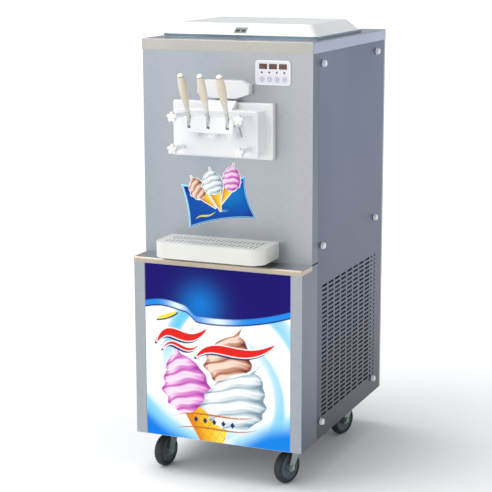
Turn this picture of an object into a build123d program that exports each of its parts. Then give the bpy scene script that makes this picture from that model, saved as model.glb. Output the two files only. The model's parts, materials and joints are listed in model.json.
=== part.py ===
from build123d import *
import os
from math import cos, radians, sin

# Floor-standing soft-serve ice cream maker with three dispensing handles.
# Millimetres, +Z up, -Y is the side the operator faces, +X is the operator's right.
# The origin is on the floor, under the middle of the bounding box.

# ---------------------------------------------------------------- driving dimensions
WIDTH = 540.0  # across the side panels
UPPER_DEPTH = 660.0  # upper front face to the back
LEDGE_REACH = 80.0  # lower cabinet in front of the upper front face
CASTER_HEIGHT = 125.0  # floor to the cabinet's bottom edge
LEDGE_TOP = 677.0
LEDGE_DEEP = 16.0  # height of the ledge's rolled lip
COVER_TOP = 1321.0
COVER_LIP = 32.0
COVER_OVERHANG = 2.0
SHEET = 1.5  # cabinet sheet metal
SEAM = 1.0  # gap between neighbouring panels
FRONT_STRIP = 48.0  # corner strip beside the upper front face
REAR_RETURN = 12.0
JAMB = 34.0  # face width of the lower door jambs
FACE = -234.2  # y of the upper front face, which centres the bounding box

HALF = WIDTH / 2
BACK = FACE + UPPER_DEPTH
LEDGE_FRONT = FACE - LEDGE_REACH
BOTTOM = CASTER_HEIGHT
COVER_BOTTOM = COVER_TOP - COVER_LIP
INNER = HALF - SHEET

# side panels and their slots
PANEL_FRONT = FACE + FRONT_STRIP + SEAM
PANEL_BACK = BACK - REAR_RETURN - SEAM
SLOT_COLUMNS, SLOT_ROWS = 9, 30
SLOT_LONG, SLOT_TALL = 44.0, 6.5
SLOT_PITCH_Y, SLOT_PITCH_Z = 57.0, 13.8
SLOT_MIDDLE_Y, SLOT_MIDDLE_Z = FACE + 336.0, BOTTOM + 269.0

# panel thumb screws
KNOB_Y = (FACE + 80.0, FACE + 570.0)
KNOB_Z = (BOTTOM + 52.0, BOTTOM + 596.0, BOTTOM + 1132.0)
KNOB_R, KNOB_DEEP = 10.5, 12.0
SCREW_R, SCREW_HOLE_R = 3.0, 3.3

# freezing cylinders
BARREL_X, BARREL_Z = 62.0, BOTTOM + 938.0
BARREL_R, BARREL_WALL = 53.0, 3.0
BARREL_END = FACE + 420.0
SHAFT_R, RUNNING = 9.0, 0.05

# dispensing head
PLATE_FRONT = FACE - 20.0
PLATE_LEFT, PLATE_RIGHT, PLATE_LOW, PLATE_HIGH = -163.5, 155.0, BOTTOM + 856.0, BOTTOM + 1020.0
DOOR_FRONT = FACE - 75.0
HUMP_FRONT = FACE - 130.0
DOOR_HALF, DOOR_LOW, DOOR_HIGH = 131.0, BOTTOM + 868.0, BOTTOM + 1002.0
HUMP_HALF, HUMP_LOW, HUMP_HIGH = 78.0, BOTTOM + 941.0, BOTTOM + 987.0
VALVE_X = (-60.0, 0.0, 60.0)
VALVE_Y, VALVE_R = FACE - 96.0, 11.0
PIN_Y, PIN_Z, PIN_R = FACE - 120.0, BOTTOM + 963.0, 2.5
STUD_X, STUD_Z, STUD_R = 104.0, (BOTTOM + 893.0, BOTTOM + 986.0), 4.0

# handle: angles in degrees, distances along its own axis from the pivot
LEAN = 23.5  # forward lean of the closed handle
ARM, ARM_DROP = 24.0, 27.5  # inner arm's length, and its angle below level when closed
LEVER_THICK, SLOT_GAP = 8.0, 10.0
TIP_Y = PIN_Y + ARM * cos(radians(ARM_DROP))
TIP_Z = PIN_Z - ARM * sin(radians(ARM_DROP))

# hoppers and lid
HOPPER_FLOOR = 1150.0
HOPPER_FRONT, HOPPER_BACK = FACE + 105.0, FACE + 480.0
HOPPER_IN, HOPPER_OUT = 10.0, 236.0  # inner and outer walls, from the middle
HOPPER_WALL, RIM = 1.5, 2.0
LID_FRONT, LID_BACK, LID_HALF = FACE + 88.0, FACE + 497.0, 248.0
LID_LOW, LID_EDGE, LID_TOP = COVER_TOP + RIM, COVER_TOP + 10.0, COVER_TOP + 42.0
LID_TOP_HALF, LID_TOP_FRONT, LID_TOP_BACK = 213.0, FACE + 135.0, FACE + 452.0
LID_WALL = 3.0

# drip tray
TRAY_LEFT, TRAY_RIGHT, TRAY_REACH = -182.0, 167.0, 135.0
TRAY_LOW, TRAY_HIGH, TRAY_CORNER, TRAY_WALL = BOTTOM + 565.5, BOTTOM + 613.0, 40.0, 3.0
TRAY_GAP = 0.3  # tray above the ribs that carry it

# control panel
CONTROL_X, CONTROL_Z = 148.0, BOTTOM + 1107.1
CONTROL_WIDE, CONTROL_TALL, CONTROL_THICK, CONTROL_ROUND = 109.0, 71.5, 4.0, 9.0
BUTTON_X = (113.3, 136.6, 159.8, 182.9)
BUTTON_Z, LAMP_Z, BUTTON_R = BOTTOM + 1088.8, BOTTOM + 1108.0, 7.5
WINDOW_X, WINDOW_Z = (117.4, 148.05, 178.8), BOTTOM + 1125.2
WINDOW_WIDE, WINDOW_TALL = 24.4, 15.2

# casters: pivot x, pivot y, swivel angle in degrees from straight forward trail
WHEEL_R, WHEEL_WIDE, TRAIL = 50.0, 28.0, 38.0
AXLE_R, KINGPIN_R = 5.0, 6.0
CASTERS = {
    "front_left": (-205.0, FACE + 35.0, 8.0),
    "front_right": (205.0, FACE + 35.0, 18.0),
    "back_left": (-205.0, FACE + 528.0, 12.0),
    "back_right": (205.0, FACE + 528.0, 18.0),
}

os.makedirs("parts", exist_ok=True)


def keep(builder, label):
    """Labels a finished sub-part and writes it to its own STEP file."""
    builder.part.label = label
    export_step(builder.part, "parts/" + label + ".step")


def corner_box(low, high, mode=Mode.ADD):
    """A block between two corners, in the active part."""
    middle = Vector(*[(a + b) / 2 for a, b in zip(low, high)])
    size = [b - a for a, b in zip(low, high)]
    with Locations(middle):
        Box(*size, mode=mode)


def rod_along_y(x, z, radius, y_low, y_high, mode=Mode.ADD):
    """A cylinder whose axis runs along Y."""
    with Locations((x, (y_low + y_high) / 2, z)):
        Cylinder(radius, y_high - y_low, rotation=(90, 0, 0), mode=mode)


def rod_along_z(x, y, radius, z_low, z_high, mode=Mode.ADD):
    """A cylinder whose axis runs along Z."""
    with Locations((x, y, (z_low + z_high) / 2)):
        Cylinder(radius, z_high - z_low, mode=mode)


def rod_along_x(y, z, radius, x_low, x_high, mode=Mode.ADD):
    """A cylinder whose axis runs along X."""
    with Locations(((x_low + x_high) / 2, y, z)):
        Cylinder(radius, x_high - x_low, rotation=(0, 90, 0), mode=mode)


# ---------------------------------------------------------------- cabinet
PAN_DEEP, PAN_SHEET = 25.0, 2.0
STRIP_RETURN = 16.0  # inward flange at the back of each corner strip
PAN_HALF = HALF - STRIP_RETURN - SEAM
PAN_FRONT, PAN_BACK = LEDGE_FRONT + 18.0, BACK - REAR_RETURN - SEAM

with BuildPart() as base_pan:
    corner_box((-PAN_HALF, PAN_FRONT, BOTTOM), (PAN_HALF, PAN_BACK, BOTTOM + PAN_DEEP))
    offset(amount=-PAN_SHEET, openings=base_pan.faces().sort_by(Axis.Z)[-1])
keep(base_pan, "base_pan")

POST = 25.0  # leg of the corner posts' angle section
POST_SHEET = 2.0
POST_LOW, POST_HIGH = BOTTOM + PAN_DEEP + SEAM, COVER_BOTTOM - SEAM
POST_OUT = INNER - 0.2  # outer face of a post

SHELF_Z, SHELF_SHEET, SHELF_HALF = LEDGE_TOP + 13.0, 2.0, PAN_HALF
SHELF_NOTCH = 45.0

with BuildPart() as inner_frame:
    for side in (-1, 1):
        for knob_y, turn in zip(KNOB_Y, (1, -1)):
            web_y = knob_y - turn * POST / 2
            with BuildSketch(Plane.XY.offset(POST_LOW)):
                with Locations((side * (POST_OUT - POST_SHEET / 2), knob_y)):
                    Rectangle(POST_SHEET, POST)
                with Locations((side * (POST_OUT - POST / 2), web_y + turn * POST_SHEET / 2)):
                    Rectangle(POST, POST_SHEET)
            extrude(amount=POST_HIGH - POST_LOW)
    for knob_y in KNOB_Y:
        for knob_z in KNOB_Z:
            rod_along_x(knob_y, knob_z, SCREW_HOLE_R, -HALF, HALF, Mode.SUBTRACT)
    with BuildSketch(Plane.XY.offset(SHELF_Z)):
        with Locations((0, (FACE + 5.0 + PAN_BACK) / 2)):
            Rectangle(2 * SHELF_HALF, PAN_BACK - FACE - 5.0)
        for side in (-1, 1):
            with Locations([(side * SHELF_HALF, knob_y) for knob_y in KNOB_Y]):
                Rectangle(SHELF_NOTCH, SHELF_NOTCH, mode=Mode.SUBTRACT)
    extrude(amount=SHELF_SHEET)
keep(inner_frame, "inner_frame")

CUTOUT_WIDE, CUTOUT_TALL = 94.0, 58.0  # opening behind the control panel

with BuildPart() as front_panel:
    corner_box((-INNER, FACE, LEDGE_TOP), (INNER, FACE + SHEET, COVER_BOTTOM))
    for side in (-1, 1):
        rod_along_y(side * BARREL_X, BARREL_Z, BARREL_R + 0.5, FACE - 1, FACE + 3, Mode.SUBTRACT)
    with Locations((CONTROL_X, FACE, CONTROL_Z)):
        Box(CUTOUT_WIDE, 4 * SHEET, CUTOUT_TALL, mode=Mode.SUBTRACT)
keep(front_panel, "front_panel")

STRIP_GAP = 4.0  # seam between the lower and upper strips, behind the ledge

LEDGE_LOW = LEDGE_TOP - LEDGE_DEEP
STRIP_BACK = FACE + FRONT_STRIP

with BuildPart() as corner_strips:
    for side in (-1, 1):
        for strip_front, low, high in (
            (FACE, LEDGE_TOP, COVER_BOTTOM),
            (FACE, LEDGE_LOW, LEDGE_TOP - STRIP_GAP),
            (LEDGE_FRONT, BOTTOM, LEDGE_LOW),
        ):
            with BuildSketch(Plane.XY.offset(low)):
                with Locations((side * (HALF - SHEET / 2), (strip_front + STRIP_BACK) / 2)):
                    Rectangle(SHEET, STRIP_BACK - strip_front)
                with Locations((side * (HALF - STRIP_RETURN / 2), STRIP_BACK - SHEET / 2)):
                    Rectangle(STRIP_RETURN, SHEET)
                if strip_front == LEDGE_FRONT:
                    with Locations((side * (HALF - JAMB / 2), LEDGE_FRONT + SHEET / 2)):
                        Rectangle(JAMB, SHEET)
            extrude(amount=high - low)
keep(corner_strips, "corner_strips")

DOOR_PANEL_HALF = HALF - JAMB - SEAM
DOOR_PANEL_LOW, DOOR_PANEL_HIGH, DOOR_PANEL_DEEP = BOTTOM, LEDGE_LOW - SEAM, 15.0

with BuildPart() as lower_front_panel:
    corner_box(
        (-DOOR_PANEL_HALF, LEDGE_FRONT, DOOR_PANEL_LOW),
        (DOOR_PANEL_HALF, LEDGE_FRONT + DOOR_PANEL_DEEP, DOOR_PANEL_HIGH),
    )
    offset(amount=-SHEET, openings=lower_front_panel.faces().sort_by(Axis.Y)[-1])
keep(lower_front_panel, "lower_front_panel")

LEDGE_OVERHANG, LEDGE_ROLL = 1.0, 6.0
RIB_X, RIB_WIDE = (-130.0, 115.0), 14.0  # raised ribs under the drip tray
RIB_HIGH = TRAY_LOW - TRAY_GAP

with BuildPart() as ledge_top:
    corner_box(
        (-HALF - LEDGE_OVERHANG, LEDGE_FRONT - COVER_OVERHANG, LEDGE_LOW),
        (HALF + LEDGE_OVERHANG, FACE - 0.5, LEDGE_TOP),
    )
    fillet(
        ledge_top.edges().filter_by(Axis.X).group_by(Axis.Z)[-1].sort_by(Axis.Y)[0],
        radius=LEDGE_ROLL,
    )
    fillet(ledge_top.edges().filter_by(Axis.Z).group_by(Axis.Y)[0], radius=3)
    corner_box(
        (-HALF - LEDGE_OVERHANG + SHEET, LEDGE_FRONT - COVER_OVERHANG + SHEET + 1, LEDGE_LOW),
        (HALF + LEDGE_OVERHANG - SHEET, FACE - 0.5 - SHEET, LEDGE_TOP - LEDGE_ROLL),
        Mode.SUBTRACT,
    )
    for rib_x in RIB_X:
        corner_box(
            (rib_x - RIB_WIDE / 2, LEDGE_FRONT + 6.0, LEDGE_TOP - 1.0),
            (rib_x + RIB_WIDE / 2, FACE - 1.0, RIB_HIGH),
        )
keep(ledge_top, "ledge_top")

PANEL_MIDDLE_Y, PANEL_LONG = (PANEL_FRONT + PANEL_BACK) / 2, PANEL_BACK - PANEL_FRONT
PANEL_LOW, PANEL_TALL = BOTTOM + SEAM, COVER_BOTTOM - BOTTOM - SEAM

for inner_face, name in ((-HALF, "left"), (INNER, "right")):
    with BuildPart() as side_panel:
        with BuildSketch(Plane.YZ.offset(inner_face)):
            with Locations((PANEL_MIDDLE_Y, PANEL_LOW + PANEL_TALL / 2)):
                Rectangle(PANEL_LONG, PANEL_TALL)
            with Locations((SLOT_MIDDLE_Y, SLOT_MIDDLE_Z)):
                with GridLocations(SLOT_PITCH_Y, SLOT_PITCH_Z, SLOT_COLUMNS, SLOT_ROWS):
                    Rectangle(SLOT_LONG, SLOT_TALL, mode=Mode.SUBTRACT)
            with Locations([(knob_y, knob_z) for knob_y in KNOB_Y for knob_z in KNOB_Z]):
                Circle(SCREW_HOLE_R, mode=Mode.SUBTRACT)
        extrude(amount=SHEET)
    keep(side_panel, "side_panel_" + name)

GLAND_X, GLAND_Z, GLAND_R = -190.0, BOTTOM + 120.0, 9.0
VENT_ROWS, VENT_LONG, VENT_TALL, VENT_PITCH = 12, 150.0, 7.0, 18.0

with BuildPart() as rear_panel:
    corner_box((-HALF, BACK - REAR_RETURN, BOTTOM + SEAM), (HALF, BACK, COVER_BOTTOM))
    corner_box(
        (-INNER, BACK - REAR_RETURN - 1, BOTTOM - 1), (INNER, BACK - SHEET, COVER_BOTTOM + 1),
        Mode.SUBTRACT,
    )
    with BuildSketch(Plane.XZ.offset(-BACK - 1)):
        with Locations((0, BOTTOM + 300.0), (0, BOTTOM + 850.0)):
            with GridLocations(VENT_LONG + 30, VENT_PITCH, 2, VENT_ROWS):
                Rectangle(VENT_LONG, VENT_TALL)
        with Locations((GLAND_X, GLAND_Z)):
            Circle(GLAND_R + 0.3)
    extrude(amount=SHEET + 2, mode=Mode.SUBTRACT)
keep(rear_panel, "rear_panel")

with BuildPart() as cord_inlet:
    rod_along_y(GLAND_X, GLAND_Z, GLAND_R, BACK - 14.0, BACK - 0.2)
    with BuildSketch(Plane.XZ.offset(-BACK + SHEET)):
        with Locations((GLAND_X, GLAND_Z)):
            RegularPolygon(13.0, 6)
    extrude(amount=8.0)
    rod_along_y(GLAND_X, GLAND_Z, 5.0, BACK - 20.0, BACK + 20.0, Mode.SUBTRACT)
keep(cord_inlet, "cord_inlet")

with BuildPart() as top_cover:
    corner_box(
        (-HALF - COVER_OVERHANG, FACE - COVER_OVERHANG, COVER_BOTTOM),
        (HALF + COVER_OVERHANG, BACK, COVER_TOP),
    )
    fillet(top_cover.edges().filter_by(Axis.Z), radius=2.5)
    fillet(top_cover.edges().group_by(Axis.Z)[-1], radius=2.0)
    corner_box(
        (-HALF - COVER_OVERHANG + SHEET, FACE - COVER_OVERHANG + SHEET, COVER_BOTTOM - 1),
        (HALF + COVER_OVERHANG - SHEET, BACK - SHEET, COVER_TOP - 2 * SHEET),
        Mode.SUBTRACT,
    )
    for side in (-1, 1):
        inner_x, outer_x = sorted((side * (HOPPER_IN - 2.5), side * (HOPPER_OUT + 2.5)))
        corner_box(
            (inner_x, HOPPER_FRONT - 2.5, COVER_TOP - 20),
            (outer_x, HOPPER_BACK + 2.5, COVER_TOP + 5),
            Mode.SUBTRACT,
        )
keep(top_cover, "top_cover")

with BuildPart() as panel_knobs:
    for side in (-1, 1):
        for knob_y in KNOB_Y:
            for knob_z in KNOB_Z:
                face_plane = Plane(
                    origin=(side * HALF, knob_y, knob_z), x_dir=(0, 1, 0), z_dir=(side, 0, 0)
                )
                with BuildSketch(face_plane):
                    Circle(KNOB_R)
                extrude(amount=KNOB_DEEP, taper=8)
                inner_x, outer_x = sorted((side * (HALF - 7.0), side * (HALF + 4.0)))
                rod_along_x(knob_y, knob_z, SCREW_R, inner_x, outer_x)
keep(panel_knobs, "panel_knobs")

# ---------------------------------------------------------------- hoppers and lid
NECK_R, NECK_WALL, NECK_Y = 15.0, 3.0, FACE + 165.0  # pipe from hopper to barrel
RIM_FRONT, RIM_BACK, RIM_OUT, RIM_IN = LID_FRONT + 4.0, LID_BACK - 4.0, 246.0, 2.0

with BuildPart() as mix_hoppers:
    for side in (-1, 1):
        tub_in, tub_out = sorted((side * HOPPER_IN, side * HOPPER_OUT))
        rim_in, rim_out = sorted((side * RIM_IN, side * RIM_OUT))
        corner_box(
            (tub_in - HOPPER_WALL, HOPPER_FRONT - HOPPER_WALL, HOPPER_FLOOR),
            (tub_out + HOPPER_WALL, HOPPER_BACK + HOPPER_WALL, COVER_TOP + RIM / 2),
        )
        corner_box((rim_in, RIM_FRONT, COVER_TOP), (rim_out, RIM_BACK, COVER_TOP + RIM))
        corner_box(
            (tub_in, HOPPER_FRONT, HOPPER_FLOOR + HOPPER_WALL),
            (tub_out, HOPPER_BACK, COVER_TOP + RIM + 1),
            Mode.SUBTRACT,
        )
        rod_along_z(
            side * BARREL_X, NECK_Y, NECK_R - NECK_WALL, HOPPER_FLOOR - 5, HOPPER_FLOOR + 5,
            Mode.SUBTRACT,
        )
keep(mix_hoppers, "mix_hoppers")

FEED_R, FEED_BORE_R = 11.5, 4.0
FEED_LOW, FEED_HIGH = HOPPER_FLOOR - 26.0, HOPPER_FLOOR + 140.0

with BuildPart() as feed_tubes:
    for side in (-1, 1):
        rod_along_z(side * BARREL_X, NECK_Y, FEED_R, FEED_LOW, FEED_HIGH)
        rod_along_z(
            side * BARREL_X, NECK_Y, FEED_BORE_R, FEED_LOW - 1, FEED_HIGH + 1, Mode.SUBTRACT
        )
        rod_along_y(
            side * BARREL_X, HOPPER_FLOOR + 12, 3.0, NECK_Y - 20, NECK_Y + 20, Mode.SUBTRACT
        )
keep(feed_tubes, "feed_tubes")

LID_SHOULDER = 8.0  # flat step between the lid's edge and its bevel
LID_ROUND = 14.0


def lid_section(height, inset, top=False):
    """The lid's plan at its edge or at its top, smaller all round by an inset."""
    half = (LID_TOP_HALF if top else LID_HALF) - inset
    front = (LID_TOP_FRONT if top else LID_FRONT) + inset
    back = (LID_TOP_BACK if top else LID_BACK) - inset
    with BuildSketch(Plane.XY.offset(height), mode=Mode.PRIVATE) as section:
        with Locations((0, (front + back) / 2)):
            RectangleRounded(2 * half, back - front, LID_ROUND)
    return section.sketch


LID_HOLLOW = LID_SHOULDER + LID_WALL

with BuildPart() as hopper_lid:
    extrude(lid_section(LID_LOW, 0), amount=LID_EDGE - LID_LOW)
    loft([lid_section(LID_EDGE, LID_SHOULDER), lid_section(LID_TOP, 0, top=True)])
    extrude(lid_section(LID_LOW, LID_HOLLOW), amount=LID_EDGE - LID_LOW, mode=Mode.SUBTRACT)
    loft(
        [lid_section(LID_EDGE, LID_HOLLOW), lid_section(LID_TOP - LID_WALL, LID_WALL, top=True)],
        mode=Mode.SUBTRACT,
    )
keep(hopper_lid, "hopper_lid")

# ---------------------------------------------------------------- freezing and drive
with BuildPart() as freezing_cylinders:
    for side in (-1, 1):
        axis_x = side * BARREL_X
        bore_r = BARREL_R - BARREL_WALL
        rod_along_y(axis_x, BARREL_Z, BARREL_R, PLATE_FRONT, BARREL_END)
        rod_along_z(axis_x, NECK_Y, NECK_R, BARREL_Z, HOPPER_FLOOR)
        rod_along_y(axis_x, BARREL_Z, bore_r, PLATE_FRONT - 1, BARREL_END - 5, Mode.SUBTRACT)
        rod_along_y(axis_x, BARREL_Z, SHAFT_R + RUNNING, BARREL_END - 6, BARREL_END + 1, Mode.SUBTRACT)
        rod_along_z(
            axis_x, NECK_Y, NECK_R - NECK_WALL, BARREL_Z, HOPPER_FLOOR + 1, Mode.SUBTRACT
        )
keep(freezing_cylinders, "freezing_cylinders")

SCRAPER_R, PADDLE_COUNT, PADDLE_TURN, PADDLE_TILT = 46.0, 9, 40.0, 25.0
SPIDER_Y = (FACE + 10.0, FACE + 200.0, FACE + 392.0)

for side, name in ((-1, "left"), (1, "right")):
    axis_x = side * BARREL_X
    with BuildPart() as beater:
        rod_along_y(axis_x, BARREL_Z, SHAFT_R, FACE - 10.0, BARREL_END + 50.0)
        for spider_y in SPIDER_Y:
            with Locations((axis_x, spider_y, BARREL_Z)):
                Box(2 * SCRAPER_R, 8.0, 14.0)
        for end in (-1, 1):
            bar_x = axis_x + end * (SCRAPER_R - 3.0)
            corner_box(
                (bar_x - 3.0, SPIDER_Y[0] - 4.0, BARREL_Z - 8.0),
                (bar_x + 3.0, SPIDER_Y[-1] + 4.0, BARREL_Z + 8.0),
            )
        for index in range(PADDLE_COUNT):
            paddle_y = SPIDER_Y[0] + (index + 1) * 38.0
            with Locations((axis_x, paddle_y, BARREL_Z)):
                Box(
                    60.0, 3.0, 16.0,
                    rotation=Rotation(PADDLE_TILT, index * PADDLE_TURN, 0),
                )
    keep(beater, "beater_" + name)

MOTOR_FRONT, GEAR_DEEP, GEAR_HALF, MOTOR_R, MOTOR_BACK = BARREL_END + 12, 62.0, 44.0, 46.0, 200.0

with BuildPart() as beater_gearmotors:
    for side in (-1, 1):
        axis_x = side * BARREL_X
        corner_box(
            (axis_x - GEAR_HALF, MOTOR_FRONT, BARREL_Z - GEAR_HALF),
            (axis_x + GEAR_HALF, MOTOR_FRONT + GEAR_DEEP, BARREL_Z + GEAR_HALF),
        )
        rod_along_y(
            axis_x, BARREL_Z, MOTOR_R, MOTOR_FRONT + GEAR_DEEP, MOTOR_FRONT + MOTOR_BACK
        )
        rod_along_y(
            axis_x, BARREL_Z, SHAFT_R + RUNNING, MOTOR_FRONT - 1, BARREL_END + 52.0, Mode.SUBTRACT
        )
keep(beater_gearmotors, "beater_gearmotors")

COMPRESSOR_X, COMPRESSOR_Y, COMPRESSOR_R, COMPRESSOR_TALL = -95.0, FACE + 300.0, 80.0, 190.0
FOOT_TALL = 12.0

with BuildPart() as compressor:
    pan_floor = BOTTOM + PAN_SHEET
    rod_along_z(
        COMPRESSOR_X, COMPRESSOR_Y, COMPRESSOR_R,
        pan_floor + FOOT_TALL, pan_floor + FOOT_TALL + COMPRESSOR_TALL,
    )
    fillet(compressor.edges(), radius=30)
    with Locations((COMPRESSOR_X, COMPRESSOR_Y, pan_floor + FOOT_TALL + 3)):
        Box(220, 130, 6)
    with Locations((COMPRESSOR_X, COMPRESSOR_Y, pan_floor + FOOT_TALL / 2)):
        with GridLocations(190, 100, 2, 2):
            Cylinder(12, FOOT_TALL)
keep(compressor, "compressor")

COIL_X, COIL_DEEP = (208.0, 248.0), 390.0
COIL_FRONT, COIL_LOW, COIL_HIGH = FACE + 110.0, BOTTOM + 28.0, BOTTOM + 438.0
FIN_COUNT, FIN_SHEET, COIL_FRAME = 26, 1.6, 10.0

with BuildPart() as condenser:
    corner_box((COIL_X[0], COIL_FRONT, COIL_LOW), (COIL_X[1], COIL_FRONT + COIL_DEEP, COIL_HIGH))
    corner_box(
        (COIL_X[0] - 1, COIL_FRONT + COIL_FRAME, COIL_LOW + COIL_FRAME),
        (COIL_X[1] + 1, COIL_FRONT + COIL_DEEP - COIL_FRAME, COIL_HIGH - COIL_FRAME),
        Mode.SUBTRACT,
    )
    with Locations((sum(COIL_X) / 2, COIL_FRONT + COIL_DEEP / 2, (COIL_LOW + COIL_HIGH) / 2)):
        with GridLocations(1, COIL_DEEP / (FIN_COUNT + 1), 1, FIN_COUNT):
            Box(COIL_X[1] - COIL_X[0] - 4, FIN_SHEET, COIL_HIGH - COIL_LOW - COIL_FRAME)
        with GridLocations(14, 1, 2, 1):
            for tube in range(8):
                tube_z = (tube - 3.5) * 46.0
                with Locations((0, 0, tube_z)):
                    Cylinder(4.5, COIL_DEEP - COIL_FRAME, rotation=(90, 0, 0))

FAN_Y, FAN_Z = COIL_FRONT + COIL_DEEP / 2, (COIL_LOW + COIL_HIGH) / 2
FAN_R, FAN_X, FAN_HUB_R, BLADE_COUNT = 150.0, 160.0, 34.0, 5
SHROUD_X = (178.0, 206.0)
FAN_SHAFT_R = 6.0

with BuildPart() as fan_shroud:
    corner_box(
        (SHROUD_X[0], COIL_FRONT + 20, COIL_LOW + 30), (SHROUD_X[1], COIL_FRONT + 370, COIL_HIGH - 30)
    )
    corner_box(
        (SHROUD_X[0] + 2, COIL_FRONT + 24, COIL_LOW + 34),
        (SHROUD_X[1] + 1, COIL_FRONT + 366, COIL_HIGH - 34),
        Mode.SUBTRACT,
    )
    rod_along_x(FAN_Y, FAN_Z, FAN_R + 8.0, SHROUD_X[0] - 5, SHROUD_X[1], Mode.SUBTRACT)
    corner_box(
        (SHROUD_X[0], COIL_FRONT + 22, FAN_Z - 9), (SHROUD_X[0] + 2, COIL_FRONT + 368, FAN_Z + 9)
    )
    rod_along_x(FAN_Y, FAN_Z, 26.0, SHROUD_X[0], SHROUD_X[1])
    rod_along_x(
        FAN_Y, FAN_Z, FAN_SHAFT_R + RUNNING, SHROUD_X[0] - 1, SHROUD_X[1] - 3, Mode.SUBTRACT
    )

with BuildPart() as condenser_unit:
    add(condenser.part)
    add(fan_shroud.part)
keep(condenser_unit, "condenser_unit")

with BuildPart() as condenser_fan:
    rod_along_x(FAN_Y, FAN_Z, FAN_HUB_R, FAN_X - 14, FAN_X + 14)
    rod_along_x(FAN_Y, FAN_Z, FAN_SHAFT_R, FAN_X, SHROUD_X[1] - 5)
    with Locations(Plane(origin=(FAN_X, FAN_Y, FAN_Z), x_dir=(0, 1, 0), z_dir=(1, 0, 0))):
        with PolarLocations((FAN_R + FAN_HUB_R) / 2 - 6, BLADE_COUNT):
            Box(FAN_R - FAN_HUB_R + 8, 72.0, 3.0, rotation=(22, 0, 0))
keep(condenser_fan, "condenser_fan")

with BuildPart() as control_box:
    corner_box((88.0, FACE + 10.0, CONTROL_Z - 42.0), (214.0, FACE + 70.0, CONTROL_Z + 42.0))
    fillet(control_box.edges().filter_by(Axis.Y), radius=4)
keep(control_box, "control_box")

# ---------------------------------------------------------------- control panel
BORDER = 4.5  # raised edge around the control label
LABEL_SINK = 1.2
BUTTON_PROUD, BUTTON_DEEP, BUTTON_GAP = 1.6, 8.0, 0.3

with BuildPart() as control_bezel:
    with BuildSketch(Plane.XZ.offset(-FACE)):
        with Locations((CONTROL_X, CONTROL_Z)):
            RectangleRounded(CONTROL_WIDE, CONTROL_TALL, CONTROL_ROUND)
    extrude(amount=CONTROL_THICK)
    fillet(control_bezel.faces().sort_by(Axis.Y)[0].edges(), radius=1.5)
    with BuildSketch(Plane.XZ.offset(-FACE + CONTROL_THICK - LABEL_SINK)):
        with Locations((CONTROL_X, CONTROL_Z)):
            RectangleRounded(
                CONTROL_WIDE - 2 * BORDER, CONTROL_TALL - 2 * BORDER, CONTROL_ROUND - BORDER
            )
    extrude(amount=LABEL_SINK + 1, mode=Mode.SUBTRACT)
    with BuildSketch(Plane.XZ.offset(-FACE + 1.5)):
        for window_x in WINDOW_X:
            with Locations((window_x, WINDOW_Z)):
                Rectangle(WINDOW_WIDE, WINDOW_TALL)
        for button_x in BUTTON_X:
            with Locations((button_x, LAMP_Z)):
                Circle(2.5)
    extrude(amount=CONTROL_THICK, mode=Mode.SUBTRACT)
    for button_x in BUTTON_X:
        rod_along_y(
            button_x, BUTTON_Z, BUTTON_R + BUTTON_GAP, FACE - CONTROL_THICK - 1, FACE + 1,
            Mode.SUBTRACT,
        )
keep(control_bezel, "control_bezel")

with BuildPart() as display_windows:
    for window_x in WINDOW_X:
        corner_box(
            (window_x - WINDOW_WIDE / 2, FACE - CONTROL_THICK + 0.8, WINDOW_Z - WINDOW_TALL / 2),
            (window_x + WINDOW_WIDE / 2, FACE - 1.5, WINDOW_Z + WINDOW_TALL / 2),
        )
    for button_x in BUTTON_X:
        rod_along_y(button_x, LAMP_Z, 2.4, FACE - CONTROL_THICK + 0.2, FACE - 1.5)
keep(display_windows, "display_windows")

for number, button_x in enumerate(BUTTON_X, start=1):
    with BuildPart() as button:
        rod_along_y(
            button_x, BUTTON_Z, BUTTON_R,
            FACE - CONTROL_THICK + LABEL_SINK - BUTTON_PROUD,
            FACE - CONTROL_THICK + LABEL_SINK - BUTTON_PROUD + BUTTON_DEEP,
        )
        fillet(button.edges().sort_by(Axis.Y)[0], radius=0.8)
    keep(button, "button_" + str(number))

# ---------------------------------------------------------------- dispensing head
with BuildPart() as head_plate:
    corner_box((PLATE_LEFT, PLATE_FRONT, PLATE_LOW), (PLATE_RIGHT, FACE, PLATE_HIGH))
    fillet(head_plate.edges().filter_by(Axis.Y), radius=6)
    fillet(head_plate.faces().sort_by(Axis.Y)[0].edges(), radius=4)
    for side in (-1, 1):
        rod_along_y(
            side * BARREL_X, BARREL_Z, BARREL_R + 0.3, PLATE_FRONT - 1, FACE + 1, Mode.SUBTRACT
        )
    for side in (-1, 1):
        for stud_z in STUD_Z:
            rod_along_y(side * STUD_X, stud_z, STUD_R + 0.2, PLATE_FRONT - 1, FACE - 8, Mode.SUBTRACT)
keep(head_plate, "head_plate")

GASKET_OUT, GASKET_IN, GASKET_DEEP = 54.0, 50.0, 2.0
PORT_R, PORT_Z = 5.5, HUMP_LOW + 7.0
TONGUE_HALF = 44.0

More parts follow.
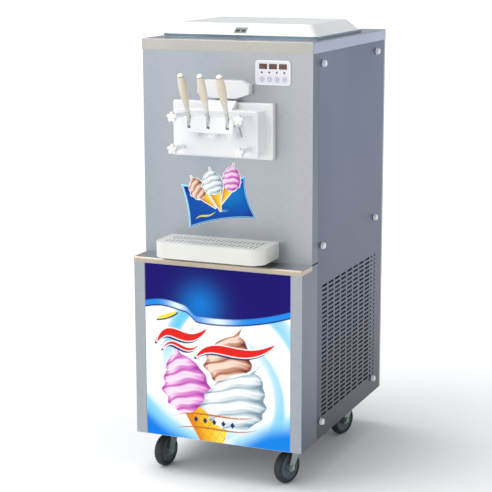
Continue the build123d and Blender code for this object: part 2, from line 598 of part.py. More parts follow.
with BuildPart() as freezer_door:
    corner_box((-DOOR_HALF, DOOR_FRONT, DOOR_LOW), (DOOR_HALF, PLATE_FRONT, DOOR_HIGH))
    fillet(freezer_door.edges().filter_by(Axis.Y), radius=8)
    fillet(freezer_door.faces().sort_by(Axis.Y)[0].edges(), radius=4)
    with BuildSketch(Plane.XZ.offset(-DOOR_FRONT - 6)):
        with Locations((0, (HUMP_LOW + HUMP_HIGH) / 2)):
            RectangleRounded(2 * HUMP_HALF, HUMP_HIGH - HUMP_LOW, 5)
    extrude(amount=DOOR_FRONT - HUMP_FRONT + 6)
    fillet(freezer_door.faces().sort_by(Axis.Y)[0].edges(), radius=3)
    with BuildSketch(Plane.YZ.offset(-TONGUE_HALF)):
        with BuildLine():
            Polyline(
                (PLATE_FRONT - 4.0, DOOR_HIGH - 2.0),
                (PLATE_FRONT - 4.0, DOOR_HIGH + 23.0),
                (PLATE_FRONT - 9.0, DOOR_HIGH + 23.0),
                (DOOR_FRONT + 12.0, DOOR_HIGH + 1.0),
                (DOOR_FRONT + 8.0, DOOR_HIGH - 2.0),
                close=True,
            )
        make_face()
    extrude(amount=2 * TONGUE_HALF)
    for side in (-1, 1):
        rod_along_y(
            side * BARREL_X, BARREL_Z, GASKET_OUT + 0.1, PLATE_FRONT - GASKET_DEEP, PLATE_FRONT + 1,
            Mode.SUBTRACT,
        )
        rod_along_y(
            side * BARREL_X, BARREL_Z, GASKET_IN - 0.1, PLATE_FRONT - GASKET_DEEP, PLATE_FRONT
        )
        for stud_z in STUD_Z:
            rod_along_y(
                side * STUD_X, stud_z, STUD_R + 0.4, DOOR_FRONT - 1, PLATE_FRONT + 1, Mode.SUBTRACT
            )
    for valve_x in VALVE_X:
        rod_along_z(
            valve_x, VALVE_Y, VALVE_R + RUNNING, HUMP_LOW - 1, HUMP_HIGH + 1, Mode.SUBTRACT
        )
        corner_box(
            (valve_x - SLOT_GAP / 2, HUMP_FRONT - 1, PIN_Z - 9.0),
            (valve_x + SLOT_GAP / 2, PIN_Y + 9.0, HUMP_HIGH + 1),
            Mode.SUBTRACT,
        )
        corner_box(
            (valve_x - SLOT_GAP / 2, PIN_Y + 8.0, TIP_Z - 8.0),
            (valve_x + SLOT_GAP / 2, VALVE_Y, HUMP_HIGH + 1),
            Mode.SUBTRACT,
        )
    for valve_x in (VALVE_X[0], VALVE_X[2]):
        rod_along_y(valve_x, PORT_Z, PORT_R, VALVE_Y, PLATE_FRONT + 1, Mode.SUBTRACT)
    for side in (-1, 1):
        port_start = Vector(side * 30.0, PLATE_FRONT, PORT_Z)
        port_run = Vector(0, VALVE_Y, PORT_Z) - port_start
        with BuildSketch(Plane(origin=port_start - port_run * 0.05, z_dir=port_run)):
            Circle(PORT_R)
        extrude(amount=port_run.length * 1.05, mode=Mode.SUBTRACT)
    rod_along_x(PIN_Y, PIN_Z, PIN_R + 0.1, -HUMP_HALF - 1, HUMP_HALF + 1, Mode.SUBTRACT)
keep(freezer_door, "freezer_door")

with BuildPart() as door_gaskets:
    for side in (-1, 1):
        rod_along_y(
            side * BARREL_X, BARREL_Z, GASKET_OUT, PLATE_FRONT - GASKET_DEEP, PLATE_FRONT
        )
        rod_along_y(
            side * BARREL_X, BARREL_Z, GASKET_IN, PLATE_FRONT - GASKET_DEEP - 1, PLATE_FRONT + 1,
            Mode.SUBTRACT,
        )
keep(door_gaskets, "door_gaskets")

NOZZLE_R, NOZZLE_LOW = 15.0, HUMP_LOW - 18.0

with BuildPart() as star_nozzles:
    for valve_x in VALVE_X:
        rod_along_z(valve_x, VALVE_Y, NOZZLE_R, NOZZLE_LOW, HUMP_LOW)
    chamfer(star_nozzles.edges().group_by(Axis.Z)[0], length=2)
    for valve_x in VALVE_X:
        rod_along_z(
            valve_x, VALVE_Y, VALVE_R + 0.3, NOZZLE_LOW + 5, HUMP_LOW + 1, Mode.SUBTRACT
        )
        with BuildSketch(Plane.XY.offset(NOZZLE_LOW - 1)):
            with Locations((valve_x, VALVE_Y)):
                Circle(4.5)
                with PolarLocations(5.5, 6):
                    Rectangle(6.0, 2.4)
        extrude(amount=8, mode=Mode.SUBTRACT)
keep(star_nozzles, "star_nozzles")

PLUNGER_LOW, PLUNGER_HIGH = HUMP_LOW - 12.0, HUMP_HIGH - 1.5
NOTCH_FRONT_HALF, NOTCH_BACK_HALF = 9.5, 5.4

for name, valve_x in zip(("left", "middle", "right"), VALVE_X):
    with BuildPart() as plunger:
        rod_along_z(valve_x, VALVE_Y, VALVE_R, PLUNGER_LOW, PLUNGER_HIGH)
        chamfer(plunger.edges().group_by(Axis.Z)[0], length=1.5)
        chamfer(plunger.edges().group_by(Axis.Z)[-1], length=1.0)
        with BuildSketch(Plane.YZ.offset(valve_x - SLOT_GAP / 2)):
            with BuildLine():
                Polyline(
                    (VALVE_Y - 14.0, TIP_Z - NOTCH_FRONT_HALF),
                    (TIP_Y, TIP_Z - NOTCH_BACK_HALF),
                    (VALVE_Y + 5.5, TIP_Z - NOTCH_BACK_HALF),
                    (VALVE_Y + 5.5, TIP_Z + NOTCH_BACK_HALF),
                    (TIP_Y, TIP_Z + NOTCH_BACK_HALF),
                    (VALVE_Y - 14.0, TIP_Z + NOTCH_FRONT_HALF),
                    close=True,
                )
            make_face()
        extrude(amount=SLOT_GAP, mode=Mode.SUBTRACT)
    keep(plunger, "valve_plunger_" + name)

HUB_R, TIP_R, NECK_TOP, NECK_HALF = 7.5, 4.0, 44.0, 5.0
TANG_R, TANG_TOP = 3.5, 120.0
GRIP_LOW, GRIP_TOP, DOME_FLAT = NECK_TOP + 0.2, 165.0, 2.0
BORE_R, BORE_TOP = TANG_R + 0.1, TANG_TOP + 0.5  # blind hole in the grip, over the tang

for name, valve_x in zip(("left", "middle", "right"), VALVE_X):
    pivot = Vector(valve_x, PIN_Y, PIN_Z)
    along = Vector(0, -sin(radians(LEAN)), cos(radians(LEAN)))
    lever_plane = Plane(
        origin=pivot - Vector(LEVER_THICK / 2, 0, 0), x_dir=(0, 1, 0), z_dir=(1, 0, 0)
    )
    neck_plane = Plane(
        origin=pivot - Vector(LEVER_THICK / 2, 0, 0), x_dir=along, z_dir=(1, 0, 0)
    )
    arm_plane = Plane(
        origin=pivot - Vector(LEVER_THICK / 2, 0, 0),
        x_dir=(0, cos(radians(ARM_DROP)), -sin(radians(ARM_DROP))),
        z_dir=(1, 0, 0),
    )
    grip_plane = Plane(origin=pivot, x_dir=(1, 0, 0), z_dir=along)
    with BuildPart() as lever:
        with BuildSketch(lever_plane):
            Circle(HUB_R)
        extrude(amount=LEVER_THICK)
        with BuildSketch(neck_plane):
            with Locations((NECK_TOP / 2, 0)):
                Rectangle(NECK_TOP, 2 * NECK_HALF)
        extrude(amount=LEVER_THICK)
        with BuildSketch(arm_plane):
            with Locations((ARM / 2, 0)):
                Rectangle(ARM, 6.0)
            with Locations((ARM, 0)):
                Circle(TIP_R)
        extrude(amount=LEVER_THICK)
        with BuildSketch(grip_plane.offset(NECK_TOP - 1)):
            Circle(TANG_R)
        extrude(amount=TANG_TOP - NECK_TOP)
        rod_along_x(
            PIN_Y, PIN_Z, PIN_R + RUNNING, valve_x - LEVER_THICK, valve_x + LEVER_THICK,
            Mode.SUBTRACT,
        )
    keep(lever, "handle_lever_" + name)

    profile_plane = Plane(origin=pivot, x_dir=(1, 0, 0), z_dir=Vector(1, 0, 0).cross(along))
    with BuildPart() as grip:
        with BuildSketch(profile_plane):
            with BuildLine():
                Line((BORE_R, GRIP_LOW), (6.2, GRIP_LOW))
                Spline(
                    (6.2, GRIP_LOW), (8.2, 66.0), (12.0, 108.0), (11.8, 132.0), (9.6, 152.0),
                    tangents=[(0.05, 1), (-0.12, 1)],
                )
                ThreePointArc((9.6, 152.0), (7.4, 161.5), (DOME_FLAT, GRIP_TOP))
                Polyline(
                    (DOME_FLAT, GRIP_TOP), (0, GRIP_TOP), (0, BORE_TOP), (BORE_R, BORE_TOP),
                    (BORE_R, GRIP_LOW),
                )
            make_face()
        revolve(axis=Axis(pivot, along))
    keep(grip, "handle_grip_" + name)

with BuildPart() as handle_pin:
    with BuildLine():
        FilletPolyline(
            (-HUMP_HALF - 3.0, PIN_Y, PIN_Z),
            (HUMP_HALF + 14.0, PIN_Y, PIN_Z),
            (HUMP_HALF + 22.0, PIN_Y, PIN_Z - 30.0),
            radius=7.0,
        )
    with BuildSketch(Plane(origin=(-HUMP_HALF - 3.0, PIN_Y, PIN_Z), z_dir=(1, 0, 0))):
        Circle(PIN_R)
    sweep()
keep(handle_pin, "handle_pin")

STUD_END = FACE - 128.0

with BuildPart() as door_studs:
    for side in (-1, 1):
        for stud_z in STUD_Z:
            rod_along_y(side * STUD_X, stud_z, STUD_R, STUD_END, FACE - 8.5)
keep(door_studs, "door_studs")

STAR_FRONT, STAR_THICK, STAR_R, LOBE_R = FACE - 155.0, 13.0, 10.0, 5.4
STEM_R, STEM_TAPER = 7.0, 2.6

for side, side_name in ((-1, "left"), (1, "right")):
    for stud_z, height_name in zip(STUD_Z, ("lower", "upper")):
        with BuildPart() as star_knob:
            with BuildSketch(Plane.XZ.offset(-STAR_FRONT - STAR_THICK)):
                with Locations((side * STUD_X, stud_z)):
                    Circle(STAR_R)
                    with PolarLocations(STAR_R, 5, start_angle=90):
                        Circle(LOBE_R)
            extrude(amount=STAR_THICK)
            fillet(star_knob.edges().group_by(Axis.Y)[0], radius=1.2)
            with BuildSketch(Plane.XZ.offset(-DOOR_FRONT + 0.4)):
                with Locations((side * STUD_X, stud_z)):
                    Circle(STEM_R)
            extrude(amount=DOOR_FRONT - 0.4 - STAR_FRONT - STAR_THICK + 2, taper=-STEM_TAPER)
            rod_along_y(
                side * STUD_X, stud_z, STUD_R + RUNNING, STUD_END - 1, DOOR_FRONT + 1,
                Mode.SUBTRACT,
            )
        keep(star_knob, "star_knob_" + height_name + "_" + side_name)

HOOD_DEEP, HOOD_WALL = 25.0, 2.5
HOOD_OUTLINE = (
    (55.0, BOTTOM + 1083.0),
    (82.0, BOTTOM + 1071.0),
    (82.0, BOTTOM + 1044.0),
    (40.0, BOTTOM + 1030.0),
)

with BuildPart() as head_hood:
    with BuildSketch(Plane.XZ.offset(-FACE)) as hood_face:
        with BuildLine():
            Polyline(
                *HOOD_OUTLINE,
                *[(-x, z) for x, z in reversed(HOOD_OUTLINE)],
                close=True,
            )
        make_face()
    extrude(amount=HOOD_DEEP)
    fillet(head_hood.faces().sort_by(Axis.Y)[0].edges(), radius=2)
    with BuildSketch(Plane.XZ.offset(-FACE - 1)):
        add(hood_face.sketch.moved(Location((0, FACE, 0))).rotate(Axis.X, -90))
        offset(amount=-HOOD_WALL)
    extrude(amount=HOOD_DEEP - HOOD_WALL + 1, mode=Mode.SUBTRACT)
keep(head_hood, "head_hood")

# ---------------------------------------------------------------- drip tray
TRAY_MIDDLE = (TRAY_LEFT + TRAY_RIGHT) / 2
TRAY_BACK, TRAY_FRONT = FACE - 0.3, FACE - TRAY_REACH
STEP_Z, GRID_THICK, GRID_INSET, GRID_GAP = TRAY_HIGH - 4.0, 3.0, 1.5, 0.3
GRID_LOW = STEP_Z + GRID_GAP


def tray_section(height, inset):
    """The tray's plan at one height: square at the back, round at the front corners."""
    left, right = TRAY_LEFT + inset, TRAY_RIGHT - inset
    back, front = TRAY_BACK - inset, TRAY_FRONT + inset
    rounding = TRAY_CORNER - inset
    with BuildSketch(Plane.XY.offset(height), mode=Mode.PRIVATE) as section:
        with BuildLine():
            Polyline(
                (left + rounding, front), (right - rounding, front),
            )
            RadiusArc((right - rounding, front), (right, front + rounding), -rounding)
            Polyline((right, front + rounding), (right, back), (left, back), (left, front + rounding))
            RadiusArc((left, front + rounding), (left + rounding, front), -rounding)
        make_face()
    return section.sketch


with BuildPart() as drip_tray:
    extrude(tray_section(TRAY_LOW, 0), amount=TRAY_HIGH - TRAY_LOW)
    fillet(drip_tray.faces().sort_by(Axis.Z)[0].edges(), radius=2.0)
    extrude(
        tray_section(TRAY_LOW + TRAY_WALL, TRAY_WALL), amount=TRAY_HIGH - TRAY_LOW,
        mode=Mode.SUBTRACT,
    )
    extrude(
        tray_section(STEP_Z, GRID_INSET), amount=TRAY_HIGH - STEP_Z + 1, mode=Mode.SUBTRACT
    )
keep(drip_tray, "drip_tray")

with BuildPart() as drip_grid:
    extrude(tray_section(GRID_LOW, GRID_INSET + GRID_GAP), amount=GRID_THICK)
    with BuildSketch(Plane.XY.offset(GRID_LOW - 1)):
        with Locations((TRAY_MIDDLE, TRAY_BACK - 0.5 * TRAY_REACH)):
            with GridLocations(14.0, 46.0, 21, 2):
                SlotOverall(38.0, 4.5, rotation=90)
    extrude(amount=GRID_THICK + 2, mode=Mode.SUBTRACT)
keep(drip_grid, "drip_grid")

# ---------------------------------------------------------------- casters
MOUNT_PLATE, MOUNT_THICK, RACE_R, RACE_TALL = 92.0, 3.0, 24.0, 6.0
RACE_LOW = BOTTOM - MOUNT_THICK - RACE_TALL
FORK_TOP, FORK_DISC, FORK_DISC_R = RACE_LOW - 0.3, 5.0, 26.0
CHEEK_IN, CHEEK_SHEET = 16.5, 3.0
KINGPIN_LOW = FORK_TOP - FORK_DISC - 2.0
HUB_HALF, HUB_OUT_R, TYRE_IN_R = 15.5, 14.0, 37.0

with BuildPart() as caster_plates:
    for pivot_x, pivot_y, swivel in CASTERS.values():
        with Locations((pivot_x, pivot_y, BOTTOM - MOUNT_THICK / 2)):
            Box(MOUNT_PLATE, MOUNT_PLATE, MOUNT_THICK)
        rod_along_z(pivot_x, pivot_y, RACE_R, RACE_LOW, BOTTOM - MOUNT_THICK)
        rod_along_z(pivot_x, pivot_y, KINGPIN_R, KINGPIN_LOW, RACE_LOW)
keep(caster_plates, "caster_plates")

for name, (pivot_x, pivot_y, swivel) in CASTERS.items():
    trail = Vector(-sin(radians(swivel)), -cos(radians(swivel)), 0)
    axle = Vector(cos(radians(swivel)), -sin(radians(swivel)), 0)
    pivot = Vector(pivot_x, pivot_y, 0)
    hub = pivot + trail * TRAIL + Vector(0, 0, WHEEL_R)
    with BuildPart() as fork:
        rod_along_z(pivot_x, pivot_y, FORK_DISC_R, FORK_TOP - FORK_DISC, FORK_TOP)
        for end in (-1, 1):
            cheek_origin = pivot - axle * (end * (CHEEK_IN + CHEEK_SHEET / 2))
            with BuildSketch(Plane(origin=cheek_origin, x_dir=trail, z_dir=-axle)):
                with BuildLine():
                    Polyline(
                        (TRAIL - 12.0, WHEEL_R),
                        (-17.0, FORK_TOP - FORK_DISC + 1.0),
                        (-17.0, FORK_TOP),
                        (24.0, FORK_TOP),
                        (30.0, FORK_TOP - 10.0),
                        (TRAIL + 12.0, WHEEL_R),
                    )
                    ThreePointArc(
                        (TRAIL + 12.0, WHEEL_R), (TRAIL, WHEEL_R - 12.0), (TRAIL - 12.0, WHEEL_R)
                    )
                make_face()
            extrude(amount=CHEEK_SHEET / 2, both=True)
        with BuildSketch(Plane(origin=hub, z_dir=axle)):
            Circle(AXLE_R)
        extrude(amount=CHEEK_IN + CHEEK_SHEET + 1, both=True)
        for end in (-1, 1):
            nut_origin = hub + axle * (end * (CHEEK_IN + CHEEK_SHEET))
            with BuildSketch(Plane(origin=nut_origin, z_dir=axle * end)):
                RegularPolygon(8.5, 6)
            extrude(amount=6.0)
        rod_along_z(
            pivot_x, pivot_y, KINGPIN_R + RUNNING, KINGPIN_LOW - 5, FORK_TOP + 1, Mode.SUBTRACT
        )
    keep(fork, "caster_fork_" + name)

    with BuildPart() as wheel:
        with BuildSketch(Plane(origin=hub, x_dir=axle, z_dir=axle.cross(Vector(0, 0, 1)))):
            with BuildLine():
                Polyline(
                    (-HUB_HALF, AXLE_R + RUNNING), (-HUB_HALF, HUB_OUT_R), (-7.0, HUB_OUT_R + 2.0),
                    (-7.0, TYRE_IN_R - 5.0), (-12.0, TYRE_IN_R), (-WHEEL_WIDE / 2, TYRE_IN_R + 2.0),
                    (-WHEEL_WIDE / 2, WHEEL_R - 6.0),
                )
                ThreePointArc(
                    (-WHEEL_WIDE / 2, WHEEL_R - 6.0), (0, WHEEL_R), (WHEEL_WIDE / 2, WHEEL_R - 6.0)
                )
                Polyline(
                    (WHEEL_WIDE / 2, WHEEL_R - 6.0), (WHEEL_WIDE / 2, TYRE_IN_R + 2.0),
                    (12.0, TYRE_IN_R), (7.0, TYRE_IN_R - 5.0), (7.0, HUB_OUT_R + 2.0),
                    (HUB_HALF, HUB_OUT_R), (HUB_HALF, AXLE_R + RUNNING), (-HUB_HALF, AXLE_R + RUNNING),
                )
            make_face()
        revolve(axis=Axis(hub, axle))
    keep(wheel, "caster_wheel_" + name)
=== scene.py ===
"""Looks for a floor-standing soft-serve ice cream maker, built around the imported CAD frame.

Metres, +Z up, the operator stands at -Y. The printed artwork is painted by formulas onto fine
sheets that lie on the cabinet. There u runs right from the machine's middle and v up from the
panel's lower edge, in millimetres.
"""

import json
import math

import bpy
import numpy as np
from mathutils import Matrix, Vector


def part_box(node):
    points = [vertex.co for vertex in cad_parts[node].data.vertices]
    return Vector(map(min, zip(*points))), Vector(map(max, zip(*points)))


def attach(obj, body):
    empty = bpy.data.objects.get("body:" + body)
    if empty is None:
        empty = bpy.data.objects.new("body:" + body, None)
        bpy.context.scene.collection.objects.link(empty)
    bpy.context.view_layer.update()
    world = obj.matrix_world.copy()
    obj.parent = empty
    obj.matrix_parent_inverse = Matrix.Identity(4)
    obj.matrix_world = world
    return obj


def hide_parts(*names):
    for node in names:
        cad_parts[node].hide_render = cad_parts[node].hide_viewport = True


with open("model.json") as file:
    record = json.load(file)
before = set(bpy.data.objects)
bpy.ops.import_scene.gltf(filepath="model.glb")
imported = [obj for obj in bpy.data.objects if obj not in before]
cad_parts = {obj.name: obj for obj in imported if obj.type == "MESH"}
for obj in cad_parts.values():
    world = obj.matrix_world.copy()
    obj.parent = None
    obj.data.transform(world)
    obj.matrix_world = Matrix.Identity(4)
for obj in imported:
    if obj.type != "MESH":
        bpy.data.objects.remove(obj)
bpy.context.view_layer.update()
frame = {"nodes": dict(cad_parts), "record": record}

MM = 0.001
NODES = frame["nodes"]
HANDLES = ("left", "middle", "right")
CORNERS = ("front_left", "front_right", "back_left", "back_right")
LEAN = math.radians(23.5)  # forward lean of the closed handles
PIN_RADIUS = 2.5 * MM  # the pin that the handles turn on


def linear(*rgb):
    """An 8-bit screen colour as linear light."""
    value = np.asarray(rgb, float) / 255
    return np.where(value <= 0.04045, value / 12.92, ((value + 0.055) / 1.055) ** 2.4)


def smooth(low, high, value):
    """0 below low, 1 above high, and an even S between them."""
    t = np.clip((value - low) / (high - low), 0, 1)
    return t * t * (3 - 2 * t)


def middle(node):
    low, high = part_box(node)
    return (low + high) / 2


# ---------------------------------------------------------------- materials
class Nodes:
    """A material's node tree, with short calls for the nodes that it uses."""

    def __init__(self, name):
        self.material = bpy.data.materials.new(name)
        self.material.use_nodes = True
        self.tree = self.material.node_tree
        self.shader = self.tree.nodes["Principled BSDF"]
        self.place = self.tree.nodes.new("ShaderNodeTexCoord").outputs["Object"]

    def add(self, kind, inputs=(), **settings):
        node = self.tree.nodes.new("ShaderNode" + kind)
        for key, value in settings.items():
            setattr(node, key, value)
        for key, value in dict(inputs).items():
            if isinstance(value, bpy.types.NodeSocket):
                self.tree.links.new(value, node.inputs[key])
            else:
                node.inputs[key].default_value = value
        return node

    def stretched(self, scale):
        """The object's own coordinates, scaled along each axis."""
        return self.add("Mapping", {"Vector": self.place, "Scale": scale}).outputs[0]

    def noise(self, scale, detail=3.0, stretch=(1, 1, 1)):
        place = self.stretched(stretch)
        return self.add("TexNoise", {"Vector": place, "Scale": scale, "Detail": detail}).outputs[0]

    def fade(self, value, low, high, to_low=0.0, to_high=1.0):
        inputs = {"Value": value, 1: low, 2: high, 3: to_low, 4: to_high}
        return self.add("MapRange", inputs).outputs[0]

    def mix(self, factor, first, second):
        node = self.add("Mix", data_type="RGBA")
        for socket, value in ((node.inputs[0], factor), (node.inputs[6], first), (node.inputs[7], second)):
            if isinstance(value, bpy.types.NodeSocket):
                self.tree.links.new(value, socket)
            elif socket is node.inputs[0]:
                socket.default_value = value
            else:
                socket.default_value = (*linear(*value), 1)
        return node.outputs[2]

    def along(self, axis):
        """The distance along an axis of the object."""
        return self.add("VectorMath", {0: self.place, 1: axis}, operation="DOT_PRODUCT").outputs["Value"]

    def set(self, name, value):
        if isinstance(value, bpy.types.NodeSocket):
            self.tree.links.new(value, self.shader.inputs[name])
        else:
            self.shader.inputs[name].default_value = value

    def bump(self, height, distance, strength=1.0):
        inputs = {"Height": height, "Distance": distance, "Strength": strength}
        self.set("Normal", self.add("Bump", inputs).outputs[0])


def brushed(name, light, dark, stretch, cloud=(3, 3, 1.2), roughness=(0.30, 0.44), foot=None):
    """Stainless sheet: fine scratches along one axis, and slow clouds of tone.

    foot is the tone that the sheet darkens to near the floor, a painted shade.
    """
    n = Nodes(name)
    lines = n.noise(55, 6, stretch)
    clouds = n.noise(1.0, 2, cloud)
    tone = n.mix(n.fade(clouds, 0.35, 0.65), dark, light)
    # painted shade: the sheet's colour darkens towards the floor
    if foot:
        tone = n.mix(n.fade(n.along((0, 0, 1)), 0.12, 1.1), foot, tone)
    streaks = n.mix(n.fade(lines, 0.3, 0.7), (230, 230, 230), (255, 255, 255))
    both = n.add("Mix", data_type="RGBA", blend_type="MULTIPLY")
    both.inputs[0].default_value = 1.0
    n.tree.links.new(tone, both.inputs[6])
    n.tree.links.new(streaks, both.inputs[7])
    n.set("Base Color", both.outputs[2])
    n.set("Metallic", 1.0)
    n.set("Roughness", n.fade(lines, 0.3, 0.7, *roughness))
    n.bump(lines, 0.00006, 0.35)
    return n.material


def plain(name, colour, shade, roughness, grain=400, depth=0.00004, metallic=0.0, **sockets):
    """A moulded, painted or cast surface: a slow change of tone and a fine grain."""
    n = Nodes(name)
    n.set("Base Color", n.mix(n.fade(n.noise(9, 3), 0.35, 0.65), shade, colour))
    fine = n.noise(grain, 2)
    n.set("Roughness", n.fade(fine, 0.3, 0.7, roughness - 0.04, roughness + 0.05))
    n.set("Metallic", metallic)
    n.bump(fine, depth, 0.4)
    for key, value in sockets.items():
        n.set(key.replace("_", " "), value)
    return n.material


def grip_material():
    """Ivory grip: a white cap over a thin dark gap at the top, grey-white at the neck."""
    n = Nodes("ivory_grip")
    axis = (0, -math.sin(LEAN), math.cos(LEAN))
    pin_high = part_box("handle_pin")[1].z - PIN_RADIUS
    start = Vector((0, middle("handle_pin").y, pin_high)).dot(Vector(axis))
    up = n.along(axis)
    streak = n.noise(30, 4, (1, 1, 0.12))
    ivory = n.mix(n.fade(streak, 0.3, 0.7), (212, 198, 176), (230, 219, 202))
    neck = n.mix(n.fade(streak, 0.3, 0.7), (196, 196, 188), (226, 226, 220))
    neck_low, neck_high, gap, cap, blur = 0.056, 0.082, 0.1560, 0.1574, 0.0002  # metres above the pin
    tone = n.mix(n.fade(up, start + neck_low, start + neck_high), neck, ivory)
    tone = n.mix(n.fade(up, start + gap, start + gap + blur), tone, (74, 66, 56))
    tone = n.mix(n.fade(up, start + cap, start + cap + blur), tone, (246, 243, 236))
    n.set("Base Color", tone)
    n.set("Roughness", n.fade(streak, 0.3, 0.7, 0.30, 0.38))
    n.bump(streak, 0.00008, 0.3)
    return n.material


def paint_material(name, roughness=0.3):
    """A glossy print that takes its colours from the sheet's own paint layer."""
    n = Nodes(name)
    n.set("Base Color", n.add("Attribute", attribute_name="paint").outputs["Color"])
    fine = n.noise(600, 2)
    n.set("Roughness", n.fade(fine, 0.3, 0.7, roughness, roughness + 0.06))
    n.set("Specular IOR Level", 0.12)
    n.bump(fine, 0.00002, 0.2)
    return n.material


MATERIALS = {
    "stainless_sheet": brushed("front_steel", (180, 182, 188), (166, 174, 181), (1, 1, 26), (5, 5, 0.3)),
    "galvanised_steel": plain("galvanised", (150, 156, 160), (118, 124, 130), 0.45, 60, 0.00006, 0.8),
    "zinc_fork": plain("zinc", (176, 190, 184), (140, 152, 150), 0.32, 200, 0.00003, 0.9),
    "white_plastic": plain("white_plastic", (240, 241, 243), (232, 233, 236), 0.24, Coat_Weight=0.25),
    "polished_steel": plain("polished_steel", (190, 190, 192), (150, 150, 152), 0.2, 300, 0.00002, 1.0),
    "stainless_tub": brushed("tub_steel", (196, 199, 202), (176, 180, 186), (24, 1, 1)),
    "black_enamel": plain("black_enamel", (30, 30, 32), (20, 20, 22), 0.35, 500, 0.00005),
    "motor_paint": plain("motor_paint", (82, 94, 106), (66, 76, 88), 0.42, 500, 0.00005),
    "aluminium_fins": plain("aluminium_fins", (176, 180, 184), (140, 146, 152), 0.35, 200, 0.00003, 0.95),
    "fan_plastic": plain("fan_plastic", (34, 34, 36), (24, 24, 26), 0.5),
    "label_plastic": plain("bezel_white", (240, 240, 246), (230, 230, 240), 0.3),
    "display_plastic": plain("lamp_black", (20, 20, 24), (14, 14, 18), 0.2),
    "button_plastic": plain("button_plastic", (214, 212, 226), (206, 204, 220), 0.42),
    "seal_rubber": plain("seal_rubber", (150, 152, 152), (130, 132, 132), 0.6),
    "wheel_rubber": plain("tyre", (36, 42, 46), (24, 30, 34), 0.55, 250, 0.0001),
    "grommet": plain("grommet", (28, 28, 30), (18, 18, 20), 0.5),
    "ivory_grip": grip_material(),
    "printed_panel": plain("panel_white", (236, 238, 242), (224, 228, 234), 0.25),
}
# painted shade: a darker, bluer copy of the front steel for the side panels, darkening further towards the
# floor
SHADED_SIDE_STEEL = brushed(
    "side_steel", (124, 133, 158), (108, 118, 146), (1, 26, 1),
    cloud=(0.6, 2.2, 1.4), roughness=(0.34, 0.46), foot=(84, 86, 96),
)
LIT_LIP_STEEL = brushed("lip_steel", (194, 192, 184), (180, 178, 172), (26, 1, 1))
LIT_LEDGE_LIP = brushed("ledge_lip", (198, 186, 168), (186, 174, 156), (26, 1, 1))
COVER_SIDE_SHADE = brushed("cover_side_shade", (186, 194, 216), (176, 184, 206), (1, 26, 1))
LEVER = plain("lever_metal", (206, 206, 200), (176, 178, 176), 0.3, 300, 0.00002, 0.5)
STRIP_SIDE_SHADE = brushed("strip_steel", (124, 130, 144), (104, 112, 128), (1, 1, 0.1))
HUB = plain("hub_plastic", (98, 110, 120), (78, 90, 100), 0.4)
EDGING = plain("lid_edging", (126, 152, 170), (96, 126, 148), 0.25)
LABEL = plain("label_film", (228, 227, 236), (222, 221, 232), 0.4)
SMOKED = plain("smoked_window", (78, 48, 40), (44, 30, 28), 0.12, 60, 0.00001, Coat_Weight=0.6)
LINE_INK = plain("line_ink", (136, 130, 156), (118, 112, 140), 0.5)
DIGIT = plain("digit", (150, 92, 66), (132, 78, 56), 0.4)
CREAM = plain("cream_cap", (250, 243, 230), (242, 234, 218), 0.4)
TRAY = plain("tray_white", (226, 226, 220), (218, 218, 212), 0.3)
# painted shade for the holes of the lid's grip
RECESS_SHADE = plain("painted_recess_shade", (52, 60, 62), (34, 40, 42), 0.6)
GREY_FRAME = plain("grey_frame", (150, 160, 162), (120, 132, 136), 0.35)
POSTER_PRINT = paint_material("poster_print")
BANNER_PRINT = paint_material("banner_print", 0.34)


def dress(node, *materials):
    """Gives a CAD node its materials, the first on every face."""
    mesh = NODES[node].data
    mesh.materials.clear()
    for material in materials:
        mesh.materials.append(material)
    for polygon in mesh.polygons:
        polygon.material_index = 0


def tint(node, index, chosen):
    """Gives one of a CAD node's materials to the faces that a test of centre and normal chooses."""
    for polygon in NODES[node].data.polygons:
        if chosen(polygon.center, polygon.normal):
            polygon.material_index = index


for part in frame["record"]["subparts"]:
    dress(part["node"], MATERIALS[part["material_slot"]])
for side in ("left", "right"):
    dress("side_panel_" + side, SHADED_SIDE_STEEL)

for side in HANDLES:
    dress("handle_lever_" + side, LEVER)
for name in ("drip_tray", "drip_grid"):
    dress(name, TRAY)

# painted light: every face of the ledge except its top takes a lighter, warmer copy of the steel
dress("ledge_top", LIT_LEDGE_LIP, MATERIALS["stainless_sheet"])
tint("ledge_top", 1, lambda centre, normal: normal.z > 0.9)

# painted light and shade: the cover's lip takes a lighter, warmer copy of the steel, its sides a bluer
# copy as painted shade
dress("top_cover", LIT_LIP_STEEL, COVER_SIDE_SHADE, MATERIALS["stainless_sheet"])
tint("top_cover", 1, lambda centre, normal: abs(normal.x) > 0.7)
tint("top_cover", 2, lambda centre, normal: normal.z > 0.9)

# painted shade: the strips' side faces take a darker, bluer copy of the steel
dress("corner_strips", MATERIALS["stainless_sheet"], STRIP_SIDE_SHADE)
tint("corner_strips", 1, lambda centre, normal: abs(normal.x) > 0.7)

edge_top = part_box("hopper_lid")[0].z + 9 * MM
dress("hopper_lid", MATERIALS["white_plastic"], EDGING)
tint("hopper_lid", 1, lambda centre, normal: abs(normal.z) < 0.3 and centre.z < edge_top)

label_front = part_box("control_bezel")[0].y + 0.8 * MM
dress("control_bezel", MATERIALS["label_plastic"], LABEL)
tint("control_bezel", 1, lambda centre, normal: normal.y < -0.9 and centre.y > label_front)

windows_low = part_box("display_windows")[1].z - 15.5 * MM
dress("display_windows", MATERIALS["display_plastic"], SMOKED)
tint("display_windows", 1, lambda centre, normal: centre.z > windows_low)

HUB_REACH = 37.5 * MM  # from the wheel's middle to where the tyre begins
for corner in CORNERS:
    hub = middle("caster_wheel_" + corner)
    dress("caster_wheel_" + corner, MATERIALS["wheel_rubber"], HUB)
    tint("caster_wheel_" + corner, 1, lambda centre, normal: (centre - hub).length < HUB_REACH)


